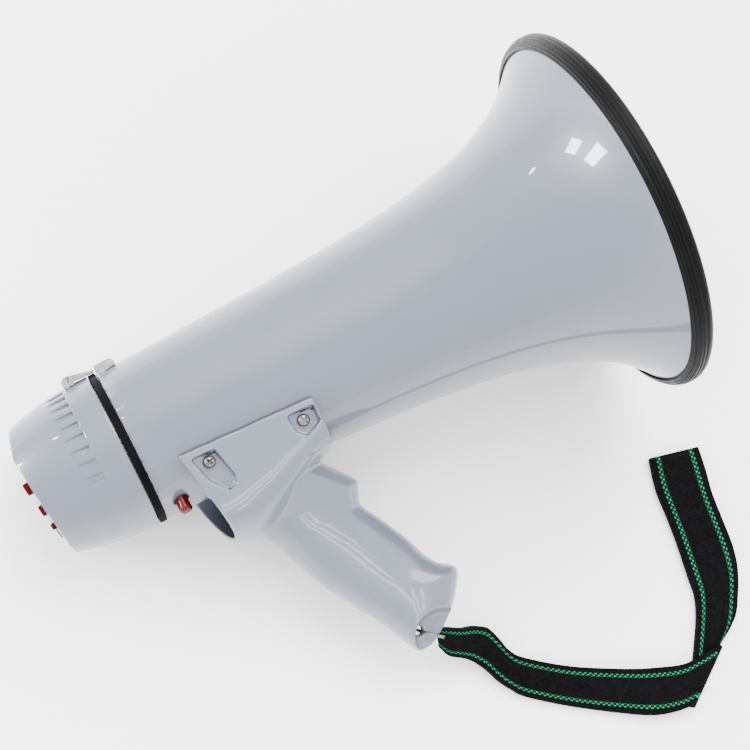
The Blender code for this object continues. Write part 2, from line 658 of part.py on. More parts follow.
def make_controls():
    red = finish_material("red_plastic", RED, PLASTIC)
    black = finish_material("switch_body", BLACK, MATTE)
    foot = PANEL_BACK - 0.0006
    for name, up, size, top in zip(("power", "siren"), BUTTON_UPS, BUTTON_SIZES, BUTTON_TOPS):
        half = size / 2
        button = place(f"{name}_button", box_mesh("button", (-half, -half, foot), (half, half, top)),
                       panel_frame, (up, CONTROL_Y, 0), material=red)
        bevel(button, 0.0004)
        place(f"{name}_switch", box_mesh("switch", (up - half, CONTROL_Y - 0.0035, foot - 0.0080),
              (up + half, CONTROL_Y + 0.0035, foot - BUTTON_TRAVEL - 0.0004)), panel_frame, material=black)
    slider = place("mode_slider", box_mesh("slider", (-SLIDER_HEIGHT / 2, -SLIDER_WIDTH / 2, foot),
                   (SLIDER_HEIGHT / 2, SLIDER_WIDTH / 2, SLIDER_TOP)), panel_frame, (SLIDER_UP,
                                                                                     CONTROL_Y, 0),
                   material=red)
    bevel(slider, 0.0003)
    place("mode_switch", box_mesh("switch", (SLIDER_UP - 0.0025, CONTROL_Y - 0.0050, foot - 0.0055),
          (SLIDER_UP + 0.0025, CONTROL_Y + 0.0050, foot - 0.0004)), panel_frame, material=black)
    dial = ((0.0020, 0), (0.0020, DIAL_RADIUS - 0.0006), (0.0014, DIAL_RADIUS), (foot, DIAL_RADIUS),
            (foot, 0.0012), (foot - 0.0012, 0.0012), (foot - 0.0012, 0))
    volume = turned_up("volume_dial", dial, finish_material("inner_plastic", DARK_GREY, MATTE),
                       panel_frame, steps=20)
    volume.location = (DIAL_UP, DIAL_Y, 0)
    cut(volume, place("dial_mark", box_mesh("mark", (0.0015, -0.0004, 0.0015),
                                            (0.0060, 0.0004, 0.0040)),
                      panel_frame, (DIAL_UP, DIAL_Y, 0)))
    place("volume_control", box_mesh("control", (DIAL_UP - 0.0045, DIAL_Y - 0.0045, foot - 0.0070),
          (DIAL_UP + 0.0045, DIAL_Y + 0.0045, foot - 0.0015)), panel_frame, material=black)


def make_microphone():
    face = panel_height(MIC_UP, MIC_Y) - 0.0006
    grille = turned_up("mic_grille", ((face, 0), (face, MIC_RADIUS), (face - 0.0012, MIC_RADIUS),
                                      (face - 0.0012, 0)),
                       finish_material("inner_plastic", DARK_GREY, MATTE), panel_frame, steps=20)
    grille.location = (MIC_UP, MIC_Y, 0)
    for index in range(5):
        offset = 0.0019 * (index - 2)
        reach = math.sqrt((MIC_RADIUS - 0.0011) ** 2 - offset ** 2)
        cut(grille, place(f"grille_slot_{index}", box_mesh("slot", (offset - 0.0004, -reach, -0.005),
                          (offset + 0.0004, reach, 0.005)), panel_frame, (MIC_UP, MIC_Y, 0)))
    mic = turned_up("microphone", ((-0.0006, 0), (-0.0006, 0.0048), (-0.0071, 0.0048), (-0.0071, 0)),
                    finish_material("aluminium", CLEAR, METAL), panel_frame, steps=20)
    mic.location = (MIC_UP, MIC_Y, 0)


def make_cap_insides(cap_frame):
    steel = finish_material("steel", STEEL, METAL)
    place("amplifier_board", box_mesh("board", (-0.0146, -0.0200, -0.0180),
                                      (-0.0130, 0.0200, 0.0180)), cap_frame,
          material=finish_material("board", BOARD_GREEN, PLASTIC))
    sink = place("heat_sink", box_mesh("sink", (-0.0230, -0.0190, -0.0165),
                                       (-0.0149, -0.0060, -0.0110)), cap_frame,
                 material=finish_material("aluminium", CLEAR, METAL))
    for index in range(3):
        low = -0.0170 + 0.0040 * index
        cut(sink, place(f"fin_gap_{index}", box_mesh("gap", (-0.0250, low, -0.0180),
                                                     (-0.0165, low + 0.0018, -0.0090)),
                        cap_frame))
    plate = disc("terminal_plate", 0.0276, -0.0036, -0.0018, cap_frame,
                 finish_material("inner_plastic", DARK_GREY, MATTE), steps=48)
    cut(plate, place("plug_opening", box_mesh("plug_opening", (-0.01, 0.0022, -0.0243),
                                              (0.01, 0.0091, -0.0185)),
                     cap_frame))
    tube("terminal_spring", coil_points((-0.0012, -CELL_OFFSET, 0),
                                        (CELL_REAR - 0.0008, -CELL_OFFSET, 0), 0.0042, 1.5),
         0.0007, cap_frame, steel)
    contact = disc("terminal_contact", 0.0050, -0.0015, CELL_REAR - GAP, cap_frame, steel, steps=20)
    contact.location = (0, CELL_OFFSET, 0)
    place("link_plug", box_mesh("plug", (-0.0110, 0.0025, -0.0240), (0.0047, 0.0088, -0.0188)),
          cap_frame,
          material=finish_material("connector", CLEAR, MATTE))


# ---------------------------------------------------------------- latch


def make_latch(pose, cap_frame):
    clear = finish_material("clear_plastic", CLEAR, (0.12, 0.0))
    pin_x, pin_z = -0.0072, 0.0343
    ear_outline = ((-0.0100, 0.0305), (-0.0100, 0.0343), (-0.0088, 0.0356), (-0.0066, 0.0357),
                   (-0.0054, 0.0345),
                   (-0.0054, 0.0305))
    tail = [(pin_x + 0.0013 * math.cos(a), pin_z + 0.0013 * math.sin(a))
            for a in (math.radians(90 + 36 * i) for i in range(6))]
    lever_outline = tail + [(0.0034, 0.0329), (0.0034, 0.0336), (-0.0010, 0.0345)]
    keeper_outline = ((0.0040, 0.0318), (0.0040, 0.0345), (0.0048, 0.0349), (0.0108, 0.0351),
                      (0.0121, 0.0336),
                      (0.0121, 0.0318))
    base = place("latch_base", box_mesh("latch_base", (-0.0098, -0.0082, 0.0290),
                                        (-0.0088, 0.0082, 0.0338)),
                 cap_frame, material=clear)
    join(base, place("ear_right", outline_mesh("ear", ear_outline, 0.0017), cap_frame, (0, -0.0090, 0)),
         place("ear_left", outline_mesh("ear", ear_outline, 0.0017), cap_frame, (0, 0.0073, 0)))
    cut(base, place("cap_skin", cylinder_mesh("skin", cap_radius(-0.0054) + GAP, -0.02, 0.0, 96),
                    cap_frame,
                    rotation=(0, math.pi / 2, 0)),
        place("pin_eye", cylinder_mesh("eye", 0.0006 + GAP, -0.02, 0.02), cap_frame, (pin_x, 0, pin_z),
              (math.pi / 2, 0, 0)))
    lever = place("latch_lever", outline_mesh("latch_lever",
                                                [(x - pin_x, z - pin_z) for x, z in lever_outline],
                  0.0140), cap_frame, (pin_x, -0.0070, pin_z), material=clear)
    cut(lever, place("lever_eye", cylinder_mesh("eye", 0.0006 + GAP, -0.02, 0.02), cap_frame,
                     (pin_x, 0, pin_z), (math.pi / 2, 0, 0)))
    place("latch_pin", cylinder_mesh("latch_pin", 0.0006, -0.0088, 0.0088, 12), cap_frame,
          (pin_x, 0, pin_z),
          (math.pi / 2, 0, 0), finish_material("steel", STEEL, METAL))
    keeper = place("latch_keeper", outline_mesh("latch_keeper", keeper_outline, 0.0140), pose,
                   (0, -0.0070, 0),
                   material=clear)
    cut(keeper, place("barrel_skin", cylinder_mesh("skin", horn_radius(0.012) + GAP, 0.0, 0.02, 96),
                      pose,
                      rotation=(0, math.pi / 2, 0)))


# ---------------------------------------------------------------- saddle and grip


def saddle_ring(x, half, top, turn, depth):
    """A U-shaped section: straight sides, then a rounded bottom."""
    ring = [(x, half, top)]
    count = 8
    for i in range(2 * count + 1):
        angle = math.pi * i / (2 * count)
        bend = 2 / 2.3
        y = half * math.copysign(abs(math.cos(angle)) ** bend, math.cos(angle))
        ring.append((x, y, turn + (depth - turn) * abs(math.sin(angle)) ** bend))
    return ring + [(x, -half, top)]


def saddle_mesh(name, wall, rear, front):
    sections = []
    for index, (x, half, top, turn, depth) in enumerate(SADDLE_SECTIONS):
        place_x = rear if index == 0 else front if index == len(SADDLE_SECTIONS) - 1 else x
        sections.append(saddle_ring(place_x, half - wall, top + wall, turn, depth + wall))
    return loft_mesh(name, sections)


def grip_ring(z, rear, front, half):
    """A level section, a little squarer than an ellipse."""
    centre, reach = (rear + front) / 2, (front - rear) / 2
    ring = []
    for i in range(GRIP_POINTS):
        angle = 2 * math.pi * i / GRIP_POINTS
        x = centre + reach * math.copysign(abs(math.cos(angle)) ** 0.88, math.cos(angle))
        y = half * math.copysign(abs(math.sin(angle)) ** 0.88, math.sin(angle))
        ring.append((x, y, z))
    return ring


def grip_mesh(name, wall=0.0):
    """The grip's skin, or its hollow when wall is its thickness."""
    sections = []
    for z, rear, front, half in GRIP_SECTIONS:
        if wall and z < GRIP_HOLLOW_END:
            continue
        slant = 1.12 * wall
        sections.append(grip_ring(z, rear + slant, front - slant, half - wall))
    return loft_mesh(name, sections)


def pocket_cutter(name, outline, floor, side, pose):
    mesh = outline_mesh(name, outline, 0.010)
    return place(name, mesh, pose, (0, floor if side > 0 else -floor - 0.010, 0))


def make_handle(pose):
    body = finish_material("body_plastic", LIGHT_GREY, PLASTIC)
    grip = place("grip_form", grip_mesh("grip_form"), pose)
    saddle_hollow = place("saddle_hollow", saddle_mesh("saddle_hollow", SADDLE_WALL, 0.008,
                                                       SADDLE_FRONT - 0.0022),
                          pose)
    grip_hollow = place("grip_hollow", grip_mesh("grip_hollow", GRIP_WALL), pose)
    barrel = [(x, horn_radius(x) + GAP) for x in reversed(horn_stations()) if x < 0.12]
    barrel = turned("barrel_form", [(barrel[0][0], 0)] + barrel + [(0, BARREL_RADIUS + GAP),
                                                                   (0, 0)], pose,
                    closed=False, steps=96)
    rear = place("saddle_rear_cut", box_mesh("rear_cut", (-0.05, -0.05, -0.08), (0, 0.05, 0.02)), pose,
                 (SADDLE_CUT_X, 0, 0), (0, -SADDLE_SLOPE, SADDLE_SKEW))
    scoop_centre = (RING_HOLE[0] + 0.004, RING_HOLE[1] - 0.004)
    for side, name in ((-1, "handle_right"), (1, "handle_left")):
        half = place(name, saddle_mesh(name, 0.0, SADDLE_REAR, SADDLE_FRONT), pose, material=body)
        join(half, grip)
        cut(half, saddle_hollow, grip_hollow)
        for index, (x, z) in enumerate(SADDLE_SCREWS):
            low, high = (0.0245, 0.0315) if side > 0 else (-0.0315, -0.0245)
            pad = place(f"{name}_pad_{index}", box_mesh("pad", (max(x - 0.0080, 0.0185), low,
                                                                z - 0.0130),
                        (min(x + 0.0080, 0.0722), high, z + 0.0060)), pose)
            join(half, pad)
        for index, (x, z) in enumerate(GRIP_SCREWS):
            boss = place(f"{name}_boss_{index}", cylinder_mesh("boss", 0.0042, -0.0135, 0.0135, 20),
                         pose, (x, 0, z),
                         (math.pi / 2, 0, 0))
            join(half, boss)
        cut(half, barrel, rear)
        for index, (outline, (x, z)) in enumerate(zip((REAR_POCKET, FRONT_POCKET), SADDLE_SCREWS)):
            cut(half, pocket_cutter(f"{name}_pocket_{index}", outline, POCKET_FLOORS[index], side,
                                    pose))
            cut(half, place(f"{name}_bore_{index}", cylinder_mesh("bore", SCREW_SHANK + GAP, -0.050,
                                                                  0.050), pose,
                            (x, 0, z), (math.pi / 2, 0, 0)))
        for index, (x, z) in enumerate(GRIP_SCREWS):
            cut(half, place(f"{name}_grip_bore_{index}", cylinder_mesh("bore", 0.0012 + GAP,
                                                                       -0.0200, 0.0090), pose,
                            (x, 0, z), (math.pi / 2, 0, 0)))
            if side > 0:
                cut(half, place(f"{name}_grip_seat_{index}", cylinder_mesh("seat", 0.0031, -0.0200,
                                                                           -0.0060), pose,
                                (x, 0, z), (math.pi / 2, 0, 0)))
        for scoop_side in (-1, 1):
            scoop = place(f"{name}_scoop_{scoop_side}", cylinder_mesh("scoop", 0.0100, LUG_HALF,
                                                                      0.0300, 24, 0.0170),
                          pose, (scoop_centre[0], 0, scoop_centre[1]), (-scoop_side * math.pi / 2,
                                                                        0, 0))
            cut(half, scoop)
        cut(half, place(f"{name}_ring_bore", cylinder_mesh("ring_bore", RING_HOLE_RADIUS, -0.02,
                                                           0.02, 20), pose,
                        (RING_HOLE[0], 0, RING_HOLE[1]), (math.pi / 2, 0, 0)))
        low, high = (-GAP / 2, 0.1) if side < 0 else (-0.1, GAP / 2)
        cut(half, place(f"{name}_split", box_mesh("split", (-0.1, low, -0.2), (0.2, high, 0.1)), pose))


def make_screws(pose):
    number = 1
    for side in (-1, 1):
        for (x, z), floor in zip(SADDLE_SCREWS, POCKET_FLOORS):
            side_screw(f"saddle_screw_{number}", x, z, side, floor + GAP, pose, 0.0100)
            number += 1
    for index, (x, z) in enumerate(GRIP_SCREWS):
        screw = turned(f"grip_screw_{index + 1}", ((0.0018, 0), (0.0018, 0.0014), (0.0011, 0.0024),
                                                   (0, 0.0026),
                       (0, 0.0012), (-0.0130, 0.0012), (-0.0130, 0)), pose,
                       finish_material("steel", STEEL, METAL), SMALL_STEPS, closed=False)
        screw.location = (x, 0.0060 + GAP, z)
        screw.rotation_euler = (-math.pi / 2, 0, 0)


def make_ring(pose):
    direction = Vector((math.cos(RING_DIRECTION), 0, math.sin(RING_DIRECTION)))
    centre = Vector((RING_HOLE[0], 0, RING_HOLE[1])) + RING_RADIUS * direction
    points = []
    for i in range(20):
        angle = 2 * math.pi * i / 20
        spoke = math.cos(angle) * direction + math.sin(angle) * Vector((0, 1, 0))
        points.append(centre + RING_RADIUS * spoke)
    tube("strap_ring", points, RING_WIRE, pose, finish_material("steel", STEEL, METAL), cyclic=True,
         sides=2)


def make_strap():
    """The doubled webbing as one flat ribbon, level across its width."""
    middles = [Vector(point[:3]) for point in STRAP_PATH]
    sections = []
    for index, (middle, point) in enumerate(zip(middles, STRAP_PATH)):
        ahead = middles[min(index + 1, len(middles) - 1)] - middles[max(index - 1, 0)]
        across = Vector((ahead.y, -ahead.x, 0)).normalized() * point[3]
        lift = ahead.cross(across).normalized() * (STRAP_THICKNESS / 2)
        if lift.z < 0:
            lift = -lift
        sections.append((middle + across - lift, middle + across + lift, middle - across + lift,
                         middle - across - lift))
    place("wrist_strap", loft_mesh("wrist_strap", sections), strap_frame,
          material=finish_material("webbing", BLACK, MATTE))


# ---------------------------------------------------------------- assembly

clear_scene()
parts = new_collection(OBJECT_NAME)
cutters = new_collection("cutters")
pose = new_empty("resting_pose", location=REST_PLACE, rotation=(REST_ROLL, REST_PITCH, 0))
cap_frame = new_empty("cap_frame", pose)
panel_frame = new_empty("panel_frame", cap_frame, (PANEL_X, 0, 0), (0, -math.pi / 2 - PANEL_TILT, 0))
strap_frame = new_empty("strap_frame", location=(REST_PLACE[0], REST_PLACE[1], 0))
talk_frame = new_empty("talk_frame", pose, (TALK_X, 0, 0), (math.pi / 2 + TALK_ANGLE, 0, 0))

make_horn(pose)
make_rim(pose)
disc("seal_band", BAND_RADIUS, BAND_REAR, BAND_FRONT, pose, finish_material("rubber", BLACK,
                                                                            RUBBER_FINISH),
     inner=BAND_INNER)
make_reflector(pose)
make_throat(pose)
make_driver(pose)
make_power(pose)
make_leads(pose)
make_talk_button(pose)
make_cap(cap_frame)
make_panel()
make_controls()
make_microphone()
make_cap_insides(cap_frame)
make_latch(pose, cap_frame)
make_handle(pose)
make_screws(pose)
make_ring(pose)
make_strap()
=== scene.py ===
"""Handheld megaphone lying on its side, with its wrist strap beside it.

Pieces are made in the megaphone's own frame (+X along the horn to the mouth, +Z away from the grip,
+Y the side that lies down) and then moved into the row frame by POSE. Lengths are in metres.
"""

import math

import bmesh
import bpy
from mathutils import Euler, Matrix, Vector


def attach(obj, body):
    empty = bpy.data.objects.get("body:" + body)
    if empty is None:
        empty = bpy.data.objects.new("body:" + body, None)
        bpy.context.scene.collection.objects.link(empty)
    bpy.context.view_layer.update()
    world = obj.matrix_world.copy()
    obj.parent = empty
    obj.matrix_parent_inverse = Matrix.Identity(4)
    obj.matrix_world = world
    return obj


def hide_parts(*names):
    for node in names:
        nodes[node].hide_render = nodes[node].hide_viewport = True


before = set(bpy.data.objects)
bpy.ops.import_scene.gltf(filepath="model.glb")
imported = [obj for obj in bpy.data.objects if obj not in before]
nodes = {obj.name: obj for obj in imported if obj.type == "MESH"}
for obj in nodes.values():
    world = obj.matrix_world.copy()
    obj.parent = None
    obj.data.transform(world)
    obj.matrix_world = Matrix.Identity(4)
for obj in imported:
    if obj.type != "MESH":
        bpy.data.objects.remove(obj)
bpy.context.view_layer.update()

GAP = 0.0003  # clearance between neighbouring pieces
TURNS = 144  # facets round the large turned pieces
GRIP_POINTS = 64

# How the megaphone rests: tilt of the horn's axis, roll about it, and the lift that puts it on z = 0
REST_PITCH = math.radians(-11.48)
REST_ROLL = math.radians(-77.34)
REST_PLACE = (-0.09876, 0.05786, 0.03451)

# Horn moulding: a slightly tapered barrel that flares as an exponential, with a tighter curl at the lip
BARREL_RADIUS = 0.0316
BARREL_TAPER = 0.040
FLARE_X = 0.220
FLARE_GAIN, FLARE_LENGTH = 0.0364, 0.0334
CURL_GAIN, CURL_LENGTH = 0.0037, 0.0090
HORN_REAR, HORN_FRONT = 0.0035, 0.2186
HORN_WALL = 0.0022

# Rubber rim round the mouth
BELL_RADIUS = 0.0800
RIM_FRONT, RIM_REAR = 0.2244, 0.2157
RIM_INNER = 0.0736

# Seal band and rear cap
BAND_RADIUS, BAND_INNER = 0.0326, 0.0296
BAND_REAR, BAND_FRONT = 0.0003, 0.0032
CAP_RADIUS = 0.0326
CAP_SHRINK, CAP_SHRINK_X, CAP_SHRINK_POWER = 0.0046, 0.0336, 2.2
CAP_WALL = 0.0022
CAP_LENGTH = 0.0450  # before the sloping end is cut
SPIGOT_OUTER, SPIGOT_INNER, SPIGOT_FRONT = 0.0292, 0.0279, 0.0065
PANEL_X = -0.0375  # where the cap's sloping end crosses the axis
PANEL_TILT = math.atan(0.122)
TOP_CHAMFER_Z, TOP_CHAMFER_TILT = 0.0150, math.radians(-21)

# Vent recesses in the cap
VENT_COUNT, VENT_PITCH, VENT_FIRST = 9, math.radians(10), math.radians(-9)
VENT_FRONT, VENT_FLOOR, VENT_WIDTH = -0.0113, 0.0312, 0.0030

# Rear panel and its controls; "up" is measured along the panel from the horn's axis
PANEL_UP, PANEL_RADIUS, PANEL_RISE, PANEL_BACK = -0.0065, 0.0200, 0.0017, -0.0020
CONTROL_Y = -0.0105
BUTTON_UPS = (0.0031, -0.0069)
BUTTON_SIZES = (0.0050, 0.0045)
SLIDER_UP, SLIDER_HEIGHT, SLIDER_SLOT = -0.0143, 0.0026, 0.0036  # the last is half the slot's length
MIC_UP, MIC_Y, MIC_RADIUS = -0.0040, 0.0045, 0.0062
DIAL_UP, DIAL_Y, DIAL_RADIUS = -0.0155, 0.0090, 0.0050
PANEL_SCREWS = ((0.0098, 0.0035), (-0.0238, -0.0030))

# Saddle under the barrel
SADDLE_REAR, SADDLE_FRONT = 0.0120, 0.0727
SADDLE_WALL = 0.0022
# The saddle's open rear edge: where it crosses below the axis, its lean, and its skew towards the far side
SADDLE_CUT_X, SADDLE_SLOPE, SADDLE_SKEW = 0.0124, math.atan(0.20), math.atan(0.063)
# (x, side half width, height of the top edge, where the side starts to curve in, depth)
SADDLE_SECTIONS = (
    (0.0120, 0.0321, -0.0112, -0.0298, -0.0520),
    (0.0225, 0.0324, -0.0117, -0.0310, -0.0529),
    (0.0280, 0.0326, -0.0120, -0.0315, -0.0541),
    (0.0350, 0.0328, -0.0123, -0.0318, -0.0546),
    (0.0440, 0.0330, -0.0127, -0.0310, -0.0520),
    (0.0530, 0.0333, -0.0130, -0.0290, -0.0470),
    (0.0620, 0.0336, -0.0134, -0.0265, -0.0420),
    (0.0727, 0.0340, -0.0139, -0.0230, -0.0370),
)

# Pistol grip, as level sections: (z, rear edge, front edge, half width)
GRIP_SECTIONS = (
    (-0.0370, 0.0370, 0.0655, 0.0285),
    (-0.0420, 0.0352, 0.0699, 0.0262),
    (-0.0520, 0.0343, 0.0776, 0.0192),
    (-0.0550, 0.0345, 0.0776, 0.0178),
    (-0.0590, 0.0360, 0.0760, 0.0166),
    (-0.0630, 0.0382, 0.0753, 0.0158),
    (-0.0713, 0.0412, 0.0798, 0.0150),
    (-0.0827, 0.0457, 0.0856, 0.0147),
    (-0.0930, 0.0514, 0.0897, 0.0147),
    (-0.0980, 0.0543, 0.0932, 0.0149),
    (-0.1012, 0.0562, 0.0976, 0.0150),
    (-0.1040, 0.0579, 0.0989, 0.0149),
    (-0.1080, 0.0603, 0.0968, 0.0146),
    (-0.1130, 0.0631, 0.0931, 0.0138),
    (-0.1180, 0.0653, 0.0882, 0.0124),
    (-0.1222, 0.0672, 0.0828, 0.0102),
    (-0.1250, 0.0686, 0.0782, 0.0076),
    (-0.1265, 0.0702, 0.0752, 0.0040),
)
GRIP_WALL, GRIP_SLANT = 0.0023, 1.12  # a level section cuts the slanting wall this much thicker
GRIP_HOLLOW_END = -0.1015

# Saddle screws: (x, z) on each side, and their pockets as outlines seen from the side
SADDLE_SCREWS = ((0.0265, -0.0187), (0.0659, -0.0206))
REAR_POCKET = ((0.0201, -0.0147), (0.0300, -0.0150), (0.0329, -0.0275), (0.0316, -0.0308),
               (0.0285, -0.0320), (0.0232, -0.0252))
FRONT_POCKET = ((0.0605, -0.0163), (0.0716, -0.0166), (0.0716, -0.0236), (0.0642, -0.0268),
                (0.0610, -0.0234))
POCKET_FLOORS = (0.0302, 0.0316)  # distances of the pocket floors from the mid-plane
SCREW_HEAD_HEIGHT, SCREW_SHANK = 0.0019, 0.0013
GRIP_SCREWS = ((0.0560, -0.0670), (0.0690, -0.0900), (0.0800, -0.1060))

# Talk button, low on the barrel behind the saddle
TALK_X, TALK_ANGLE = 0.0110, math.radians(58)
TALK_RADIUS, TALK_OPENING = 0.0026, 0.0034

# Re-entrant horn
REFLECTOR_REAR, REFLECTOR_FRONT, REFLECTOR_RADIUS = 0.1500, 0.2020, 0.0290
REFLECTOR_WALL = 0.0018
STRUT_COUNT, STRUT_THICKNESS = 3, 0.0026
STRUT_REAR, STRUT_FRONT = 0.1525, 0.1680
THROAT_REAR, THROAT_FRONT = 0.1372, 0.1880

# Strap ring through the end of the grip
RING_HOLE = (0.0729, -0.1185)
RING_RADIUS, RING_WIRE, RING_HOLE_RADIUS = 0.0058, 0.0013, 0.0021
RING_DIRECTION = math.radians(-42)
LUG_HALF = 0.0030
SCOOP_SHIFT = (0.0072, -0.0062)  # from the ring's hole to the middle of the recess beside it
SCOOP_RADIUS, SCOOP_MOUTH, SCOOP_DEPTH = 0.0100, 0.0170, 0.0300

# Screw pockets get deeper towards the front
POCKET_TILT = math.radians(6)

# Skin size and smoothing passes: where the grip meets the saddle, then over the whole handle
FILLET_SKIN, FILLET_PASSES = 0.0006, 2
HANDLE_SKIN, HANDLE_PASSES = 0.0005, 4

# Webbing, doubled into a loop: the two layers' middles lie this far from the strap's middle surface
STRAP_WIDTH, WEBBING, LAYER_OFFSET = 0.0210, 0.0011, 0.0006
FOLD_RADIUS = 0.0013
COLUMNS = 14  # faces across the webbing
END_TURN = 0.003  # length of webbing taken by the turn at the strap's end
STRIPE_OFFSET, STRIPE_HALF = 0.0070, 0.0009
RIB_PITCH, CORD_PITCH = 0.0024, 0.0018
# Edges of the strap from the ring to the fold, and from the fold to its end: (far edge, near edge),
# measured from the point on the table under the megaphone's own origin
STRAP_OUT = (
    ((0.0850, -0.1185, 0.0230), (0.0840, -0.1245, 0.0170)),
    ((0.0905, -0.1205, 0.0200), (0.0865, -0.1300, 0.0140)),
    ((0.0970, -0.1230, 0.0160), (0.0925, -0.1335, 0.0105)),
    ((0.1040, -0.1245, 0.0115), (0.0975, -0.1370, 0.0070)),
    ((0.1095, -0.1275, 0.0080), (0.1015, -0.1425, 0.0050)),
    ((0.1125, -0.1335, 0.0060), (0.1045, -0.1490, 0.0036)),
    ((0.1145, -0.1395, 0.0045), (0.1080, -0.1545, 0.0028)),
    ((0.1195, -0.1455, 0.0034), (0.1130, -0.1605, 0.0022)),
    ((0.1366, -0.1580, 0.0026), (0.1291, -0.1730, 0.0018)),
    ((0.1590, -0.1705, 0.0028), (0.1475, -0.1855, 0.0024)),
    ((0.1715, -0.1762, 0.0036), (0.1600, -0.1930, 0.0034)),
    ((0.1825, -0.1802, 0.0039), (0.1700, -0.1962, 0.0039)),
    ((0.1915, -0.1808, 0.0040), (0.1732, -0.1967, 0.0039)),
    ((0.1980, -0.1807, 0.0040), (0.1752, -0.1970, 0.0039)),
    ((0.2025, -0.1804, 0.0039), (0.1768, -0.1966, 0.0039)),
)
STRAP_BACK = (
    ((0.2036, -0.1796, 0.0013), (0.1775, -0.1957, 0.0013)),
    ((0.2112, -0.1765, 0.0016), (0.1835, -0.1885, 0.0013)),
    ((0.2176, -0.1728, 0.0022), (0.1900, -0.1800, 0.0013)),
    ((0.2231, -0.1656, 0.0032), (0.1996, -0.1674, 0.0014)),
    ((0.2286, -0.1563, 0.0044), (0.2049, -0.1581, 0.0015)),
    ((0.2319, -0.1465, 0.0052), (0.2072, -0.1480, 0.0016)),
    ((0.2340, -0.1340, 0.0056), (0.2106, -0.1330, 0.0016)),
    ((0.2362, -0.1220, 0.0054), (0.2128, -0.1205, 0.0016)),
    ((0.2400, -0.1105, 0.0044), (0.2148, -0.1080, 0.0016)),
    ((0.2430, -0.1008, 0.0030), (0.2193, -0.0955, 0.0016)),
)

# Camera, in the megaphone's own frame: where it is, then its turn, dip and lean, and its lens in mm
CAMERA_PLACE = (-0.01488, -0.68751, 0.0)
CAMERA_TURN = (math.radians(9.836), math.radians(-1.502), math.radians(26.455))
CAMERA_LENS = 82.15

# Lamps: (name, direction from LAMP_CENTRE, distance, (width, height), power)
LAMPS = (
    ("window_left", (-0.79, 0.56, 0.25), 1.5, (0.17, 0.22), 12.0),
    ("window_low", (-0.91, 0.36, 0.22), 1.5, (0.18, 0.32), 18.0),
    ("window_glint", (-0.54, 0.71, 0.46), 1.5, (0.05, 0.09), 1.2),
)
LAMP_CENTRE = (0.205, -0.058, 0.025)  # in the megaphone's own frame: the lit side of the bell
ROOM_LIGHT = 3.7
SUN_WAY, SUN_POWER, SUN_SPREAD = (0.30, 0.40, 0.85), 5.0, math.radians(50)
# Narrow strips that light the handle alone, as long streaks: (direction of each end, width, power)
STRIPS = (
    ((-0.21, -0.90, 0.38), (0.11, -0.25, 0.96), 0.045, 1.5),
    ((-0.31, -0.88, 0.36), (0.01, -0.25, 0.97), 0.030, 1.2),
    ((-0.39, -0.86, 0.33), (-0.07, -0.25, 0.97), 0.050, 1.5),
)
STRIP_CENTRE = (0.060, -0.020, -0.080)  # in the megaphone's own frame: the middle of the grip


# ---------------------------------------------------------------- mesh forms


def box_mesh(name, low, high):
    mesh = bpy.data.meshes.new(name)
    shape = bmesh.new()
    bmesh.ops.create_cube(shape, size=1)
    low, high = Vector(low), Vector(high)
    for vertex in shape.verts:
        for axis in range(3):
            vertex.co[axis] = high[axis] if vertex.co[axis] > 0 else low[axis]
    shape.to_mesh(mesh)
    shape.free()
    return mesh


def cylinder_mesh(name, radius, low, high, steps=48, top_radius=None):
    """A cylinder or cone along local Z from low to high."""
    mesh = bpy.data.meshes.new(name)
    shape = bmesh.new()
    bmesh.ops.create_cone(shape, cap_ends=True, segments=steps, radius1=radius,
                          radius2=radius if top_radius is None else top_radius, depth=high - low)
    bmesh.ops.translate(shape, verts=shape.verts, vec=(0, 0, (low + high) / 2))
    shape.to_mesh(mesh)
    shape.free()
    return mesh


def loft_mesh(name, sections):
    """A closed skin over sections of equal length, the first and the last capped."""
    mesh = bpy.data.meshes.new(name)
    shape = bmesh.new()
    rings = [[shape.verts.new(point) for point in section] for section in sections]
    for ring, following in zip(rings, rings[1:]):
        for i, vertex in enumerate(ring):
            j = (i + 1) % len(ring)
            shape.faces.new((vertex, ring[j], following[j], following[i]))
    shape.faces.new(rings[0])
    shape.faces.new(rings[-1])
    bmesh.ops.triangulate(shape, faces=[face for face in shape.faces if len(face.verts) == 4])
    bmesh.ops.recalc_face_normals(shape, faces=shape.faces)
    shape.to_mesh(mesh)
    shape.free()
    return mesh


def outline_mesh(name, outline, depth):
    """A flat outline in XZ, extruded along Y from 0 to depth."""
    near = [Vector((x, 0, z)) for x, z in outline]
    far = [point + Vector((0, depth, 0)) for point in near]
    return loft_mesh(name, (near, far))


def horn_radius(x):
    flare = FLARE_GAIN * math.exp((x - FLARE_X) / FLARE_LENGTH)
    curl = CURL_GAIN * math.exp((x - FLARE_X) / CURL_LENGTH)
    return BARREL_RADIUS + BARREL_TAPER * x + flare + curl


def horn_point(x, offset=0.0):
    """A point of the horn's outline, moved outwards by offset along its normal."""
    step = 1e-5
    angle = math.atan((horn_radius(x + step) - horn_radius(x - step)) / (2 * step))
    return x - offset * math.sin(angle), horn_radius(x) + offset * math.cos(angle)


def cap_radius(x):
    return CAP_RADIUS - CAP_SHRINK * (abs(x) / CAP_SHRINK_X) ** CAP_SHRINK_POWER


def panel_height(up, y):
    """Height of the domed panel above the cap's end."""
    away = math.hypot(up - PANEL_UP, y) / PANEL_RADIUS
    return PANEL_RISE * (1 - away ** 2)


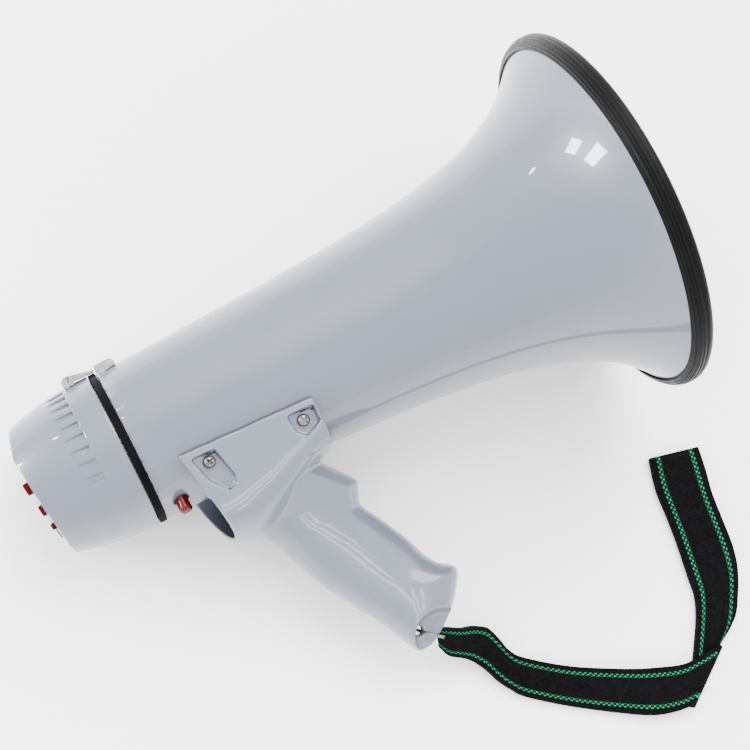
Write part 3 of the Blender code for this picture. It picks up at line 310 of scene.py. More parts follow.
def saddle_ring(x, half, top, turn, depth):
    """A U-shaped section: straight sides, then a rounded bottom."""
    ring = [(x, half, top)]
    count = 28
    for i in range(2 * count + 1):
        angle = math.pi * i / (2 * count)
        bend = 2 / 2.3
        y = half * math.copysign(abs(math.cos(angle)) ** bend, math.cos(angle))
        ring.append((x, y, turn + (depth - turn) * abs(math.sin(angle)) ** bend))
    return ring + [(x, -half, top)]


def grip_ring(z, rear, front, half):
    """A level section, a little squarer than an ellipse."""
    centre, reach = (rear + front) / 2, (front - rear) / 2
    ring = []
    for i in range(GRIP_POINTS):
        angle = 2 * math.pi * i / GRIP_POINTS
        x = centre + reach * math.copysign(abs(math.cos(angle)) ** 0.88, math.cos(angle))
        y = half * math.copysign(abs(math.sin(angle)) ** 0.88, math.sin(angle))
        ring.append((x, y, z))
    return ring


# Frames inside the megaphone's own: the rear panel's, the talk button's, and the turned pieces'
POSE = Matrix.Translation(REST_PLACE) @ Euler((REST_ROLL, REST_PITCH, 0)).to_matrix().to_4x4()
PANEL = Matrix.Translation((PANEL_X, 0, 0)) @ Matrix.Rotation(-math.pi / 2 - PANEL_TILT, 4, "Y")
TALK = Matrix.Translation((TALK_X, 0, 0)) @ Matrix.Rotation(math.pi / 2 + TALK_ANGLE, 4, "X")
UPRIGHT = Matrix.Rotation(math.pi / 2, 4, "Y")  # local Z along the megaphone's X


# ---------------------------------------------------------------- materials


def shader_of(name):
    """A new material with its node tree and its Principled shader."""
    material = bpy.data.materials.new(name)
    material.use_nodes = True
    tree = material.node_tree
    return material, tree, tree.nodes["Principled BSDF"]


def noise(tree, scale, detail=4.0):
    place = tree.nodes.new("ShaderNodeTexCoord")
    node = tree.nodes.new("ShaderNodeTexNoise")
    node.inputs["Scale"].default_value = scale
    node.inputs["Detail"].default_value = detail
    tree.links.new(place.outputs["Object"], node.inputs["Vector"])
    return node.outputs["Fac"]


def ramp(tree, factor, low, high, start=0.3, end=0.7):
    node = tree.nodes.new("ShaderNodeValToRGB")
    node.color_ramp.elements[0].position = start
    node.color_ramp.elements[1].position = end
    node.color_ramp.elements[0].color = (*low, 1)
    node.color_ramp.elements[1].color = (*high, 1)
    tree.links.new(factor, node.inputs["Fac"])
    return node.outputs["Color"]


def spread(tree, factor, low, high):
    """The factor's middle range, spread from low to high."""
    node = tree.nodes.new("ShaderNodeMapRange")
    node.inputs["From Min"].default_value = 0.3
    node.inputs["From Max"].default_value = 0.7
    node.inputs["To Min"].default_value = low
    node.inputs["To Max"].default_value = high
    tree.links.new(factor, node.inputs["Value"])
    return node.outputs["Result"]


def bumped(tree, shader, height, strength, distance):
    node = tree.nodes.new("ShaderNodeBump")
    node.inputs["Strength"].default_value = strength
    node.inputs["Distance"].default_value = distance
    tree.links.new(height, node.inputs["Height"])
    tree.links.new(node.outputs["Normal"], shader.inputs["Normal"])


def finish(name, low, high, rough, bump=0.1, grain=900, blotch=60, metallic=0.0, coat=0.0, clear=0.0,
           gleam=0.5):
    """A finish whose colour drifts between two shades, with uneven gloss and a fine grain."""
    material, tree, shader = shader_of(name)
    tree.links.new(ramp(tree, noise(tree, blotch), low, high), shader.inputs["Base Color"])
    gloss = spread(tree, noise(tree, blotch * 4), rough * 0.85, rough * 1.15)
    tree.links.new(gloss, shader.inputs["Roughness"])
    bumped(tree, shader, noise(tree, grain, 2.0), bump, 0.0001)
    shader.inputs["Metallic"].default_value = metallic
    shader.inputs["Coat Weight"].default_value = coat
    shader.inputs["Coat Roughness"].default_value = 0.03
    shader.inputs["Specular IOR Level"].default_value = gleam
    shader.inputs["Transmission Weight"].default_value = clear
    return material


def webbing_material():
    """Black ribbed webbing with a checked green stripe near each edge. U is across and V along, in metres."""
    material, tree, shader = shader_of("webbing_cloth")
    place = tree.nodes.new("ShaderNodeTexCoord")
    split = tree.nodes.new("ShaderNodeSeparateXYZ")
    tree.links.new(place.outputs["UV"], split.inputs["Vector"])

    def maths(operation, first, second):
        node = tree.nodes.new("ShaderNodeMath")
        node.operation = operation
        for socket, value in zip(node.inputs, (first, second)):
            if isinstance(value, float):
                socket.default_value = value
            else:
                tree.links.new(value, socket)
        return node.outputs["Value"]

    across = maths("ABSOLUTE", split.outputs["X"], 0.0)
    from_stripe = maths("ABSOLUTE", maths("SUBTRACT", across, STRIPE_OFFSET), 0.0)
    in_stripe = maths("LESS_THAN", from_stripe, STRIPE_HALF)
    ribs = maths("SINE", maths("MULTIPLY", split.outputs["Y"], 2 * math.pi / RIB_PITCH), 0.0)
    cords = maths("SINE", maths("MULTIPLY", split.outputs["X"], 2 * math.pi / CORD_PITCH), 0.0)
    weave = maths("MULTIPLY", ribs, cords)
    checks = maths("GREATER_THAN", weave, 0.20)
    black = ramp(tree, noise(tree, 700), (0.0010, 0.0010, 0.0012), (0.0028, 0.0028, 0.0031))
    dark = ramp(tree, noise(tree, 900), (0.0008, 0.0060, 0.0030), (0.0016, 0.0110, 0.0055))
    light = ramp(tree, noise(tree, 900), (0.004, 0.110, 0.045), (0.010, 0.180, 0.075))

    def mixed(factor, first, second):
        node = tree.nodes.new("ShaderNodeMix")
        node.data_type = "RGBA"
        tree.links.new(factor, node.inputs["Factor"])
        tree.links.new(first, node.inputs["A"])
        tree.links.new(second, node.inputs["B"])
        return node.outputs["Result"]

    stripe = mixed(checks, dark, light)
    tree.links.new(mixed(in_stripe, black, stripe), shader.inputs["Base Color"])
    tree.links.new(spread(tree, noise(tree, 500), 0.55, 0.75), shader.inputs["Roughness"])
    shader.inputs["Specular IOR Level"].default_value = 0.02
    bumped(tree, shader, weave, 0.6, 0.0002)
    return material


BODY = finish("body_gloss", (0.066, 0.077, 0.108), (0.071, 0.083, 0.116), 0.35, 0.03, 1500, 25, coat=0.7)
RUBBER = finish("rim_rubber", (0.0007, 0.0007, 0.0009), (0.0014, 0.0014, 0.0017), 0.36, 0.15, 2500, 90,
                gleam=0.07)
BAND = finish("band_rubber", (0.0010, 0.0010, 0.0012), (0.0022, 0.0022, 0.0025), 0.60, 0.15, 2500, 90,
              gleam=0.03)
RED_GLOSS = finish("red_button_gloss", (0.052, 0.0003, 0.0005), (0.070, 0.0006, 0.0008), 0.4, 0.03, 1500, 200,
                   gleam=0.06)
RED_CLEAR = finish("red_clear_plastic", (0.070, 0.0006, 0.0008), (0.095, 0.0011, 0.0014), 0.15, 0.02, 1500,
                   200, coat=0.05, clear=0.25, gleam=0.1)
CLEAR = finish("clear_latch_plastic", (0.19, 0.20, 0.21), (0.27, 0.28, 0.29), 0.15, 0.02, 1500, 150,
               coat=0.8, clear=0.3)
STEEL = finish("bright_steel", (0.12, 0.115, 0.10), (0.19, 0.18, 0.16), 0.26, 0.08, 2500, 300, metallic=1.0)
ALUMINIUM = finish("cast_aluminium", (0.58, 0.59, 0.60), (0.70, 0.71, 0.72), 0.38, 0.12, 2000, 300,
                   metallic=1.0)
# Dark moulding for the throat and the inner pieces; on the talk button's collar this colour is painted shade,
# standing for the shadowed gap round the button's base.
DARK_MOULDING_AND_SHADE = finish("dark_moulding_and_painted_shade", (0.020, 0.021, 0.023), (0.040, 0.041, 0.044), 0.45, 0.12, 1800, 120)
WRAP = finish("cell_wrap_film", (0.020, 0.050, 0.160), (0.035, 0.080, 0.230), 0.22, 0.04, 1500, 90, coat=0.3)
BOARD = finish("board_laminate", (0.010, 0.110, 0.045), (0.018, 0.170, 0.075), 0.35, 0.10, 1800, 400)
FILM = finish("diaphragm_film", (0.45, 0.33, 0.16), (0.60, 0.46, 0.24), 0.28, 0.10, 900, 200, coat=0.3)
NYLON = finish("connector_nylon", (0.66, 0.64, 0.56), (0.76, 0.74, 0.67), 0.45, 0.08, 1800, 200)
LEAD_RED = finish("red_insulation", (0.45, 0.012, 0.010), (0.58, 0.022, 0.018), 0.40, 0.08, 1800, 300)
LEAD_BLACK = finish("black_insulation", (0.010, 0.010, 0.011), (0.024, 0.024, 0.026), 0.40, 0.08, 1800, 300)


# ---------------------------------------------------------------- helpers


def solid(name, mesh, matrix=None):
    """An object of a mesh, moved within the megaphone's own frame."""
    if matrix is not None:
        mesh.transform(matrix)
    obj = bpy.data.objects.new(name, mesh)
    bpy.context.scene.collection.objects.link(obj)
    return obj


def turned(name, profile, matrix=None, steps=TURNS, closed=True):
    """Turns (x, radius) points about X; with a matrix, the first value is the height along its Z."""
    mesh = bpy.data.meshes.new(name)
    shape = bmesh.new()
    rings = []
    for x, radius in profile:
        if radius < 1e-7:
            rings.append([shape.verts.new((0, 0, x))] * steps)
            continue
        angles = [2 * math.pi * i / steps for i in range(steps)]
        rings.append([shape.verts.new((radius * math.cos(a), radius * math.sin(a), x)) for a in angles])
    pairs = list(zip(rings, rings[1:])) + ([(rings[-1], rings[0])] if closed else [])
    for ring, following in pairs:
        for i in range(steps):
            j = (i + 1) % steps
            corners = list(dict.fromkeys((ring[i], ring[j], following[j], following[i])))
            if len(corners) > 2:
                shape.faces.new(corners)
    bmesh.ops.recalc_face_normals(shape, faces=shape.faces)
    shape.to_mesh(mesh)
    shape.free()
    return solid(name, mesh, UPRIGHT if matrix is None else matrix)


def boolean(obj, operation, others):
    for other in others:
        modifier = obj.modifiers.new(operation, "BOOLEAN")
        modifier.operation = operation
        modifier.solver = "EXACT"
        modifier.object = other
    bake(obj)
    for other in others:
        bpy.data.objects.remove(other)


def cut(obj, *others):
    boolean(obj, "DIFFERENCE", others)


def join(obj, *others):
    boolean(obj, "UNION", others)


def bake(obj):
    """Gives obj the mesh that its modifiers make."""
    bpy.context.view_layer.update()
    made = bpy.data.meshes.new_from_object(obj.evaluated_get(bpy.context.evaluated_depsgraph_get()))
    obj.modifiers.clear()
    obj.data = made


def rounded(obj, width, segments=3, angle=32):
    weld = obj.modifiers.new("weld", "WELD")
    weld.merge_threshold = 0.00001
    bevel = obj.modifiers.new("rounded_edges", "BEVEL")
    bevel.width = width
    bevel.segments = segments
    bevel.limit_method = "ANGLE"
    bevel.angle_limit = math.radians(angle)
    bevel.harden_normals = True
    bevel.miter_outer = "MITER_ARC"
    return obj


def show(obj, material, body, *stands_for, sharp=35):
    """Puts a finished piece into the row frame, on its body."""
    if obj.modifiers:
        bake(obj)
    obj.data.transform(POSE)
    obj.data.materials.clear()
    obj.data.materials.append(material)
    obj.data.shade_smooth()
    if sharp:
        obj.data.set_sharp_from_angle(angle=math.radians(sharp))
    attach(obj, body)
    if stands_for:
        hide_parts(*stands_for)
    return obj


def smoothed(sections, share):
    """Catmull-Rom stations between the sections, so that a loft has no creases."""
    fine = []
    for i in range(len(sections) - 1):
        before, first = sections[max(i - 1, 0)], sections[i]
        second, after = sections[i + 1], sections[min(i + 2, len(sections) - 1)]
        for step in range(share):
            t = step / share
            fine.append(tuple(0.5 * (2 * b + (c - a) * t + (2 * a - 5 * b + 4 * c - d) * t * t
                                     + (3 * b - a - 3 * c + d) * t ** 3)
                              for a, b, c, d in zip(before, first, second, after)))
    return fine + [sections[-1]]


def across_bore(x, z, radius, low=-0.05, high=0.05):
    """A round cutter along the megaphone's Y, from -low to -high."""
    flat = Matrix.Translation((x, 0, z)) @ Matrix.Rotation(math.pi / 2, 4, "X")
    return solid("bore", cylinder_mesh("bore", radius, low, high), flat)


# ---------------------------------------------------------------- horn, rim and band


def make_horn():
    span = HORN_FRONT - HORN_REAR
    stations = [HORN_REAR + span * (1 - (1 - i / 60) ** 1.9) for i in range(61)]
    outer = [horn_point(x) for x in reversed(stations)]
    inner = [horn_point(x, -HORN_WALL) for x in stations]
    horn = turned("horn_moulding", outer + inner)
    cut(horn, solid("talk_opening", cylinder_mesh("opening", TALK_OPENING, 0.020, 0.040), TALK))
    for x, z in SADDLE_SCREWS:
        cut(horn, across_bore(x, z, SCREW_SHANK + GAP))
    show(rounded(horn, 0.0003, 2, 50), BODY, "horn", "horn_shell")


def make_rim():
    """The rubber rim, with fine grooves round its outside."""
    profile = [(RIM_FRONT, 0.0744), (RIM_FRONT, 0.0776), (0.2241, 0.0788), (0.2234, 0.0796)]
    profile += [(0.2224, BELL_RADIUS)]
    profile += [(0.2212, BELL_RADIUS), (0.2210, 0.0797), (0.2206, 0.0797), (0.2204, BELL_RADIUS)]
    profile += [(0.2198, BELL_RADIUS), (0.2196, 0.0796), (0.2192, 0.0795), (0.2190, 0.0797)]
    profile += [(0.2184, 0.0795), (0.2183, 0.0791), (0.2179, 0.0789), (0.2177, 0.0791)]
    profile += [(0.2172, 0.0787), (0.2172, 0.0783), (0.2168, 0.0779), (0.2166, 0.0780)]
    profile += [(0.2163, 0.0775), (0.2163, 0.0770), (0.2160, 0.0766), (0.2158, 0.0764)]
    profile += [(RIM_REAR, 0.0757)]
    back = [horn_point(x, GAP) for x in (0.2163, 0.2175, HORN_FRONT)]
    front = [horn_point(x, -HORN_WALL - GAP) for x in (HORN_FRONT, 0.2175, 0.2163)]
    lip_x, lip_radius = back[-1]
    profile += back + [(lip_x + GAP, lip_radius + GAP), (front[0][0] + GAP, front[0][1] + GAP)]
    profile += front[1:] + [(0.2194, RIM_INNER), (0.2236, RIM_INNER)]
    show(rounded(turned("mouth_rim", profile), 0.00010, 2, 25), RUBBER, "horn", "bell_rim", sharp=45)


def make_band():
    profile = [(BAND_FRONT, BAND_RADIUS), (BAND_REAR, BAND_RADIUS)]
    profile += [(BAND_REAR, BAND_INNER), (BAND_FRONT, BAND_INNER)]
    show(rounded(turned("joint_band", profile), 0.00035, 3), BAND, "horn", "seal_band")


def make_reflector():
    """The cup that turns the sound back, on its struts."""
    length = REFLECTOR_FRONT - REFLECTOR_REAR
    outer, inner = [], []
    for i in range(31):
        share = i / 30
        bulge = math.sqrt(max(0, 1 - share ** 4))
        outer.append((REFLECTOR_REAR + length * share, REFLECTOR_RADIUS * (1 - 0.2 * share) * bulge))
        inner.append((REFLECTOR_REAR + (length - REFLECTOR_WALL) * share,
                      (REFLECTOR_RADIUS * (1 - 0.2 * share) - REFLECTOR_WALL) * bulge))
    cup = turned("sound_reflector", list(reversed(outer)) + inner, closed=False)
    outline = ((STRUT_REAR, 0.0280), (STRUT_FRONT, 0.0265),
               (STRUT_FRONT, horn_point(STRUT_FRONT - 0.001, -HORN_WALL)[1] - 0.0008),
               (STRUT_REAR, horn_point(STRUT_REAR - 0.001, -HORN_WALL)[1] - 0.0008))
    for index in range(STRUT_COUNT):
        strut = outline_mesh("strut", outline, STRUT_THICKNESS)
        strut.transform(Matrix.Translation((0, -STRUT_THICKNESS / 2, 0)))
        turn = Matrix.Rotation(2 * math.pi * index / STRUT_COUNT + math.pi / 2, 4, "X")
        join(cup, solid("strut", strut, turn))
    show(rounded(cup, 0.0004, 2, 40), BODY, "horn", "reflector")


def make_throat():
    flange = horn_point(THROAT_REAR, -HORN_WALL - GAP)[1]
    profile = [(THROAT_FRONT, 0.0135), (0.1600, 0.0100), (0.1400, 0.0092), (0.1398, flange)]
    profile += [(THROAT_REAR, flange), (THROAT_REAR, 0.0070), (0.1600, 0.0082), (THROAT_FRONT, 0.0118)]
    show(rounded(turned("throat", profile), 0.0003, 2), DARK_MOULDING_AND_SHADE, "horn", "throat_tube")


# ---------------------------------------------------------------- rear cap and its panel


def cap_outline(offset, rear):
    places = [-0.0003 - 0.0010 * i for i in range(40)] + [rear]
    return [(x, cap_radius(x) - offset) for x in places]


def make_cap():
    profile = [(SPIGOT_FRONT, 0), (SPIGOT_FRONT, SPIGOT_OUTER), (-0.0003, SPIGOT_OUTER)]
    cap = turned("rear_housing", profile + cap_outline(0, -CAP_LENGTH) + [(-CAP_LENGTH, 0)], closed=False)
    top = PANEL @ Matrix.Translation((TOP_CHAMFER_Z, 0, 0)) @ Matrix.Rotation(-TOP_CHAMFER_TILT, 4, "Y")
    hollow = [(SPIGOT_FRONT + 0.001, 0), (SPIGOT_FRONT + 0.001, SPIGOT_INNER), (-0.006, SPIGOT_INNER)]
    hollow += [(x, r) for x, r in cap_outline(CAP_WALL, -CAP_LENGTH) if -0.032 <= x < -0.006]
    hollow += [(-0.0325, cap_radius(-0.0325) - CAP_WALL), (-0.0325, 0)]
    window = Matrix.Translation((PANEL_UP, 0, 0))
    cut(cap, solid("slope", box_mesh("slope", (-0.05, -0.05, 0), (0.05, 0.05, 0.03)), PANEL),
        solid("top_slope", box_mesh("top", (0, -0.05, 0), (0.05, 0.05, 0.03)), top),
        turned("hollow", hollow, closed=False),
        solid("window", cylinder_mesh("window", PANEL_RADIUS + GAP, -0.010, 0.010, 96), PANEL @ window))
    bake(rounded(cap, 0.0008, 4, 24))
    for index in range(2 * VENT_COUNT):
        side = -1 if index < VENT_COUNT else 1
        angle = VENT_FIRST + VENT_PITCH * (index % VENT_COUNT)
        turn = Matrix.Rotation((math.pi - angle) if side < 0 else angle, 4, "X")
        cut(cap, solid("vent", box_mesh("vent", (VENT_FRONT - 0.012, VENT_FLOOR, -VENT_WIDTH / 2),
                                        (VENT_FRONT, 0.040, VENT_WIDTH / 2)), turn))
    show(cap, BODY, "cap", "rear_cap", sharp=30)


def make_panel():
    dome = [(PANEL_RISE * (1 - (i / 16) ** 2), PANEL_RADIUS * i / 16) for i in range(17)]
    panel = turned("control_panel", dome + [(PANEL_BACK, PANEL_RADIUS), (PANEL_BACK, 0)],
                   PANEL @ Matrix.Translation((PANEL_UP, 0, 0)), 96, False)
    openings = []
    for up, size in zip(BUTTON_UPS, BUTTON_SIZES):
        half = size / 2 + GAP
        openings.append(box_mesh("opening", (up - half, CONTROL_Y - half, -0.01),
                                 (up + half, CONTROL_Y + half, 0.01)))
    half = SLIDER_HEIGHT / 2 + GAP
    openings.append(box_mesh("opening", (SLIDER_UP - half, CONTROL_Y - SLIDER_SLOT, -0.01),
                             (SLIDER_UP + half, CONTROL_Y + SLIDER_SLOT, 0.01)))
    rounds = ((MIC_UP, MIC_Y, MIC_RADIUS + GAP, -0.01), (DIAL_UP, DIAL_Y, DIAL_RADIUS + GAP, -0.01))
    for up, y in PANEL_SCREWS:
        rounds += ((up, y, 0.0019, panel_height(up, y) - 0.0011), (up, y, 0.0013, -0.01))
    for up, y, radius, low in rounds:
        mesh = cylinder_mesh("round_opening", radius, low, 0.01)
        mesh.transform(Matrix.Translation((up, y, 0)))
        openings.append(mesh)
    cut(panel, *[solid("opening", mesh, PANEL) for mesh in openings])
    show(rounded(panel, 0.00025, 2, 40), BODY, "cap", "rear_panel")


# ---------------------------------------------------------------- handle


def pocket(outline, floor, side):
    """A recess that gets deeper towards the front of its outline."""
    mesh = outline_mesh("pocket", outline, 0.010)
    if side < 0:
        mesh.transform(Matrix.Translation((0, -0.010, 0)))
    rear = outline[0][0]
    tilt = Matrix.Rotation(-side * POCKET_TILT, 4, "Z") @ Matrix.Translation((-rear, 0, 0))
    return solid("pocket", mesh, Matrix.Translation((rear, side * floor, 0)) @ tilt)


def fine_saddle(wall, rear, front):
    sections = [list(section) for section in SADDLE_SECTIONS]
    sections[0][0], sections[-1][0] = rear, front
    rings = [saddle_ring(x, half - wall, top + wall, turn, depth + wall)
             for x, half, top, turn, depth in smoothed(sections, 5)]
    return solid("saddle_form", loft_mesh("saddle_form", rings))


def fine_grip(wall=0.0):
    sections = [s for s in GRIP_SECTIONS if not wall or s[0] >= GRIP_HOLLOW_END]
    rings = [grip_ring(z, rear + GRIP_SLANT * wall, front - GRIP_SLANT * wall, half - wall)
             for z, rear, front, half in smoothed(sections, 4)]
    return solid("grip_form", loft_mesh("grip_form", rings))


def screw_pad(x, z, side):
    """The thicker wall inside the saddle, behind a screw's pocket."""
    low, high = (0.0245, 0.0315) if side > 0 else (-0.0315, -0.0245)
    return solid("pad", box_mesh("pad", (max(x - 0.0080, 0.0185), low, z - 0.0130),
                                 (min(x + 0.0080, 0.0722), high, z + 0.0060)))


def make_handle_half(side, name, node):
    half = fine_saddle(0.0, SADDLE_REAR, SADDLE_FRONT)
    half.name = name
    join(half, fine_grip())
    scoop = Matrix.Translation((RING_HOLE[0] + SCOOP_SHIFT[0], 0, RING_HOLE[1] + SCOOP_SHIFT[1]))
    for way in (-1, 1):
        mesh = cylinder_mesh("scoop", SCOOP_RADIUS, LUG_HALF, SCOOP_DEPTH, 48, SCOOP_MOUTH)
        cut(half, solid("scoop", mesh, scoop @ Matrix.Rotation(-way * math.pi / 2, 4, "X")))
    soften(half, FILLET_SKIN, FILLET_PASSES)
    cut(half, fine_saddle(SADDLE_WALL, 0.008, SADDLE_FRONT - 0.0022), fine_grip(GRIP_WALL))
    for x, z in SADDLE_SCREWS:
        join(half, screw_pad(x, z, side))
    barrel = [(x / 1000, horn_radius(x / 1000) + GAP) for x in range(120, -1, -4)]
    barrel = turned("barrel_form", [(0.120, 0)] + barrel + [(0, 0)], closed=False)
    slope = Matrix.Translation((SADDLE_CUT_X, 0, 0)) @ Matrix.Rotation(SADDLE_SKEW, 4, "Z")
    slope = slope @ Matrix.Rotation(-SADDLE_SLOPE, 4, "Y")
    rear = solid("rear_cut", box_mesh("rear_cut", (-0.05, -0.05, -0.08), (0, 0.05, 0.02)), slope)
    cut(half, barrel, rear)
    for (x, z), outline, floor in zip(SADDLE_SCREWS, (REAR_POCKET, FRONT_POCKET), POCKET_FLOORS):
        cut(half, pocket(outline, floor, side), across_bore(x, z, SCREW_SHANK + GAP))
    if side > 0:
        for x, z in GRIP_SCREWS:
            cut(half, across_bore(x, z, 0.0031, -0.0200, -0.0060))
    low, high = (-GAP / 2, 0.1) if side < 0 else (-0.1, GAP / 2)
    cut(half, across_bore(*RING_HOLE, RING_HOLE_RADIUS, -0.02, 0.02),
        solid("split", box_mesh("split", (-0.1, low, -0.2), (0.2, high, 0.1))))
    soften(half, HANDLE_SKIN, HANDLE_PASSES)
    show(half, BODY, "horn", node, sharp=0)


def soften(obj, size, passes):
    """Rounds every edge a little, as a moulding has them."""
    remesh = obj.modifiers.new("even_skin", "REMESH")
    remesh.mode = "VOXEL"
    remesh.voxel_size = size
    smooth = obj.modifiers.new("soft_edges", "SMOOTH")
    smooth.factor = 0.5
    smooth.iterations = passes
    bake(obj)


def make_cross_screw(name, x, z, side, seat, node):
    matrix = Matrix.Translation((x, side * seat, z)) @ Matrix.Rotation(-side * math.pi / 2, 4, "X")
    top = SCREW_HEAD_HEIGHT
    profile = [(top, 0), (top, 0.0010), (top - 0.0002, 0.0016), (top - 0.0006, 0.0021)]
    profile += [(top - 0.0012, 0.0024), (0, 0.0025), (0, SCREW_SHANK), (-0.0100, SCREW_SHANK), (-0.0100, 0)]
    screw = turned(name, profile, matrix, 48, False)
    for turn in (0.5, 0.5 + math.pi / 2):
        slot = box_mesh("slot", (-0.0017, -0.00042, top - 0.0014), (0.0017, 0.00042, top + 0.001))
        cut(screw, solid("slot", slot, matrix @ Matrix.Rotation(turn, 4, "Z")))
    show(rounded(screw, 0.00012, 2, 40), STEEL, "horn", node)


# ---------------------------------------------------------------- talk button, ring and strap


def make_talk():
    profile = [(0.0321, 0.0030), (0.0319, 0.0031), (0.0287, 0.0032)]
    profile += [(0.0287, TALK_RADIUS + GAP), (0.0321, TALK_RADIUS + GAP)]
    collar = turned("talk_collar", profile, TALK, 64)
    # The collar's dark colour is painted shade: it stands for the shadowed gap round the talk button's base.
    show(rounded(collar, 0.0002, 2), DARK_MOULDING_AND_SHADE, "horn", "talk_button_collar")


def make_ring():
    """A split ring of two close turns of wire."""
    direction = Vector((math.cos(RING_DIRECTION), 0, math.sin(RING_DIRECTION)))
    centre = Vector((RING_HOLE[0], 0, RING_HOLE[1])) + RING_RADIUS * direction
    side = Vector((0, 1, 0))
    away = direction.cross(side)
    curve = bpy.data.curves.new("split_ring", "CURVE")
    curve.dimensions = "3D"
    curve.bevel_depth = RING_WIRE / 4 + 0.00008
    curve.bevel_resolution = 4
    curve.use_fill_caps = True
    spline = curve.splines.new("POLY")
    count = 160
    spline.points.add(count - 1)
    for i, point in enumerate(spline.points):
        angle = 4 * math.pi * i / (count - 1) * 0.985
        lean = RING_WIRE / 4 * (2 * i / (count - 1) - 1) * 1.1
        spot = centre + RING_RADIUS * (math.cos(angle) * direction + math.sin(angle) * side) + lean * away
        point.co = (*spot, 1)
    ring = bpy.data.objects.new("split_ring", curve)
    bpy.context.scene.collection.objects.link(ring)
    mesh_ring = bpy.data.objects.new("key_ring", bpy.data.meshes.new_from_object(ring))
    bpy.context.scene.collection.objects.link(mesh_ring)
    bpy.data.objects.remove(ring)
    show(mesh_ring, STEEL, "horn", "strap_ring", sharp=40)


def through(rows, share):
    """Smooth rows through the given rows."""
    flat = [tuple(a) + tuple(b) for a, b in rows]
    return [(Vector(row[:3]), Vector(row[3:])) for row in smoothed(flat, share)]


def strap_grid():
    """The strap's middle surface from the ring, round the fold and back: rows of points across it."""
    out = [(Vector(a), Vector(b)) for a, b in STRAP_OUT]
    back = [(Vector(a), Vector(b)) for a, b in STRAP_BACK]
    first, second = out[-1]
    line = (first - second).normalized()
    outward = Vector((line.y, -line.x, 0))
    fold = []
    for i in range(1, 8):
        angle = math.pi * i / 8
        shift = outward * FOLD_RADIUS * math.sin(angle) + Vector((0, 0, FOLD_RADIUS * (math.cos(angle) - 1)))
        fold.append((first + shift, second + shift))
    return [[first.lerp(second, i / COLUMNS) for i in range(COLUMNS + 1)]
            for first, second in through(out, 6) + fold + through(back, 6)]


def strap_normals(grid):
    normals = []
    for r, row in enumerate(grid):
        ahead, behind = grid[min(r + 1, len(grid) - 1)], grid[max(r - 1, 0)]
        line = []
        for c in range(COLUMNS + 1):
            across = row[min(c + 1, COLUMNS)] - row[max(c - 1, 0)]
            line.append((ahead[c] - behind[c]).cross(across).normalized())
        normals.append(line)
    if normals[0][COLUMNS // 2].z < 0:
        normals = [[-normal for normal in line] for line in normals]
    return normals


def strap_loop(grid):
    """Both layers of the webbing as one band of (point, distance along it): over, round the end and under."""
    normals = strap_normals(grid)
    columns = range(COLUMNS + 1)
    length = [[0.0] * (COLUMNS + 1)]
    for row, following in zip(grid, grid[1:]):
        length.append([length[-1][c] + (following[c] - row[c]).length for c in columns])
    loop = [[(row[c] + line[c] * LAYER_OFFSET, along[c]) for c in columns]
            for row, line, along in zip(grid, normals, length)]
    for i in range(1, 6):
        angle = math.pi * i / 6
        turn = []
        for c in columns:
            ahead = (grid[-1][c] - grid[-2][c]).normalized()
            point = grid[-1][c] + normals[-1][c] * LAYER_OFFSET * math.cos(angle)
            point += ahead * LAYER_OFFSET * math.sin(angle)
            turn.append((point, length[-1][c] + LAYER_OFFSET * angle))
        loop.append(turn)
    for row, line, along in zip(reversed(grid), reversed(normals), reversed(length)):
        loop.append([(row[c] - line[c] * LAYER_OFFSET, 2 * length[-1][c] - along[c] + END_TURN)
                     for c in columns])
    return loop


def make_strap():
    """The webbing, with UVs in metres across and along it."""
    loop = strap_loop(strap_grid())
    shape = bmesh.new()
    layer = shape.loops.layers.uv.new("weave")
    verts = [[shape.verts.new(point) for point, _ in row] for row in loop]
    for r in range(len(loop) - 1):
        for c in range(COLUMNS):
            corners = ((r, c), (r, c + 1), (r + 1, c + 1), (r + 1, c))
            face = shape.faces.new([verts[i][j] for i, j in corners])
            for corner, (i, j) in zip(face.loops, corners):
                corner[layer].uv = (STRAP_WIDTH * (j / COLUMNS - 0.5), loop[i][j][1])
    mesh = bpy.data.meshes.new("wrist_strap_webbing")
    shape.to_mesh(mesh)
    shape.free()
    strap = solid("wrist_strap_webbing", mesh, Matrix.Translation((REST_PLACE[0], REST_PLACE[1], 0)))
    thick = strap.modifiers.new("thickness", "SOLIDIFY")
    thick.thickness = WEBBING
    thick.offset = 0
    edge = strap.modifiers.new("selvedge", "BEVEL")
    edge.width = 0.00035
    edge.segments = 2
    edge.limit_method = "ANGLE"
    edge.angle_limit = math.radians(60)
    bake(strap)
    strap.data.materials.append(webbing_material())
    strap.data.shade_smooth()
    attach(strap, "strap")
    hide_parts("wrist_strap")


# ---------------------------------------------------------------- small CAD pieces kept as they are


def dress(name, material, width, angle=32):
    """A CAD piece with broken edges and its own finish."""
    node = nodes[name]
    node.data.materials.clear()
    node.data.materials.append(material)
    node.data.shade_smooth()
    weld = node.modifiers.new("weld", "WELD")
    weld.merge_threshold = 0.00001
    if width:
        bevel = node.modifiers.new("broken_edges", "BEVEL")
        bevel.width = width
        bevel.segments = 3
        bevel.limit_method = "ANGLE"
        bevel.angle_limit = math.radians(angle)
        bevel.harden_normals = True


make_horn()
make_rim()
make_band()
make_reflector()
make_throat()
make_cap()
make_panel()
make_handle_half(-1, "near_handle_half", "handle_right")
make_handle_half(1, "far_handle_half", "handle_left")
screw_number = 1
for way in (-1, 1):
    for (screw_x, screw_z), pocket_floor in zip(SADDLE_SCREWS, POCKET_FLOORS):
        make_cross_screw(f"handle_screw_{screw_number}", screw_x, screw_z, way, pocket_floor + GAP,
                         f"saddle_screw_{screw_number}")
        screw_number += 1
make_talk()
make_ring()
make_strap()

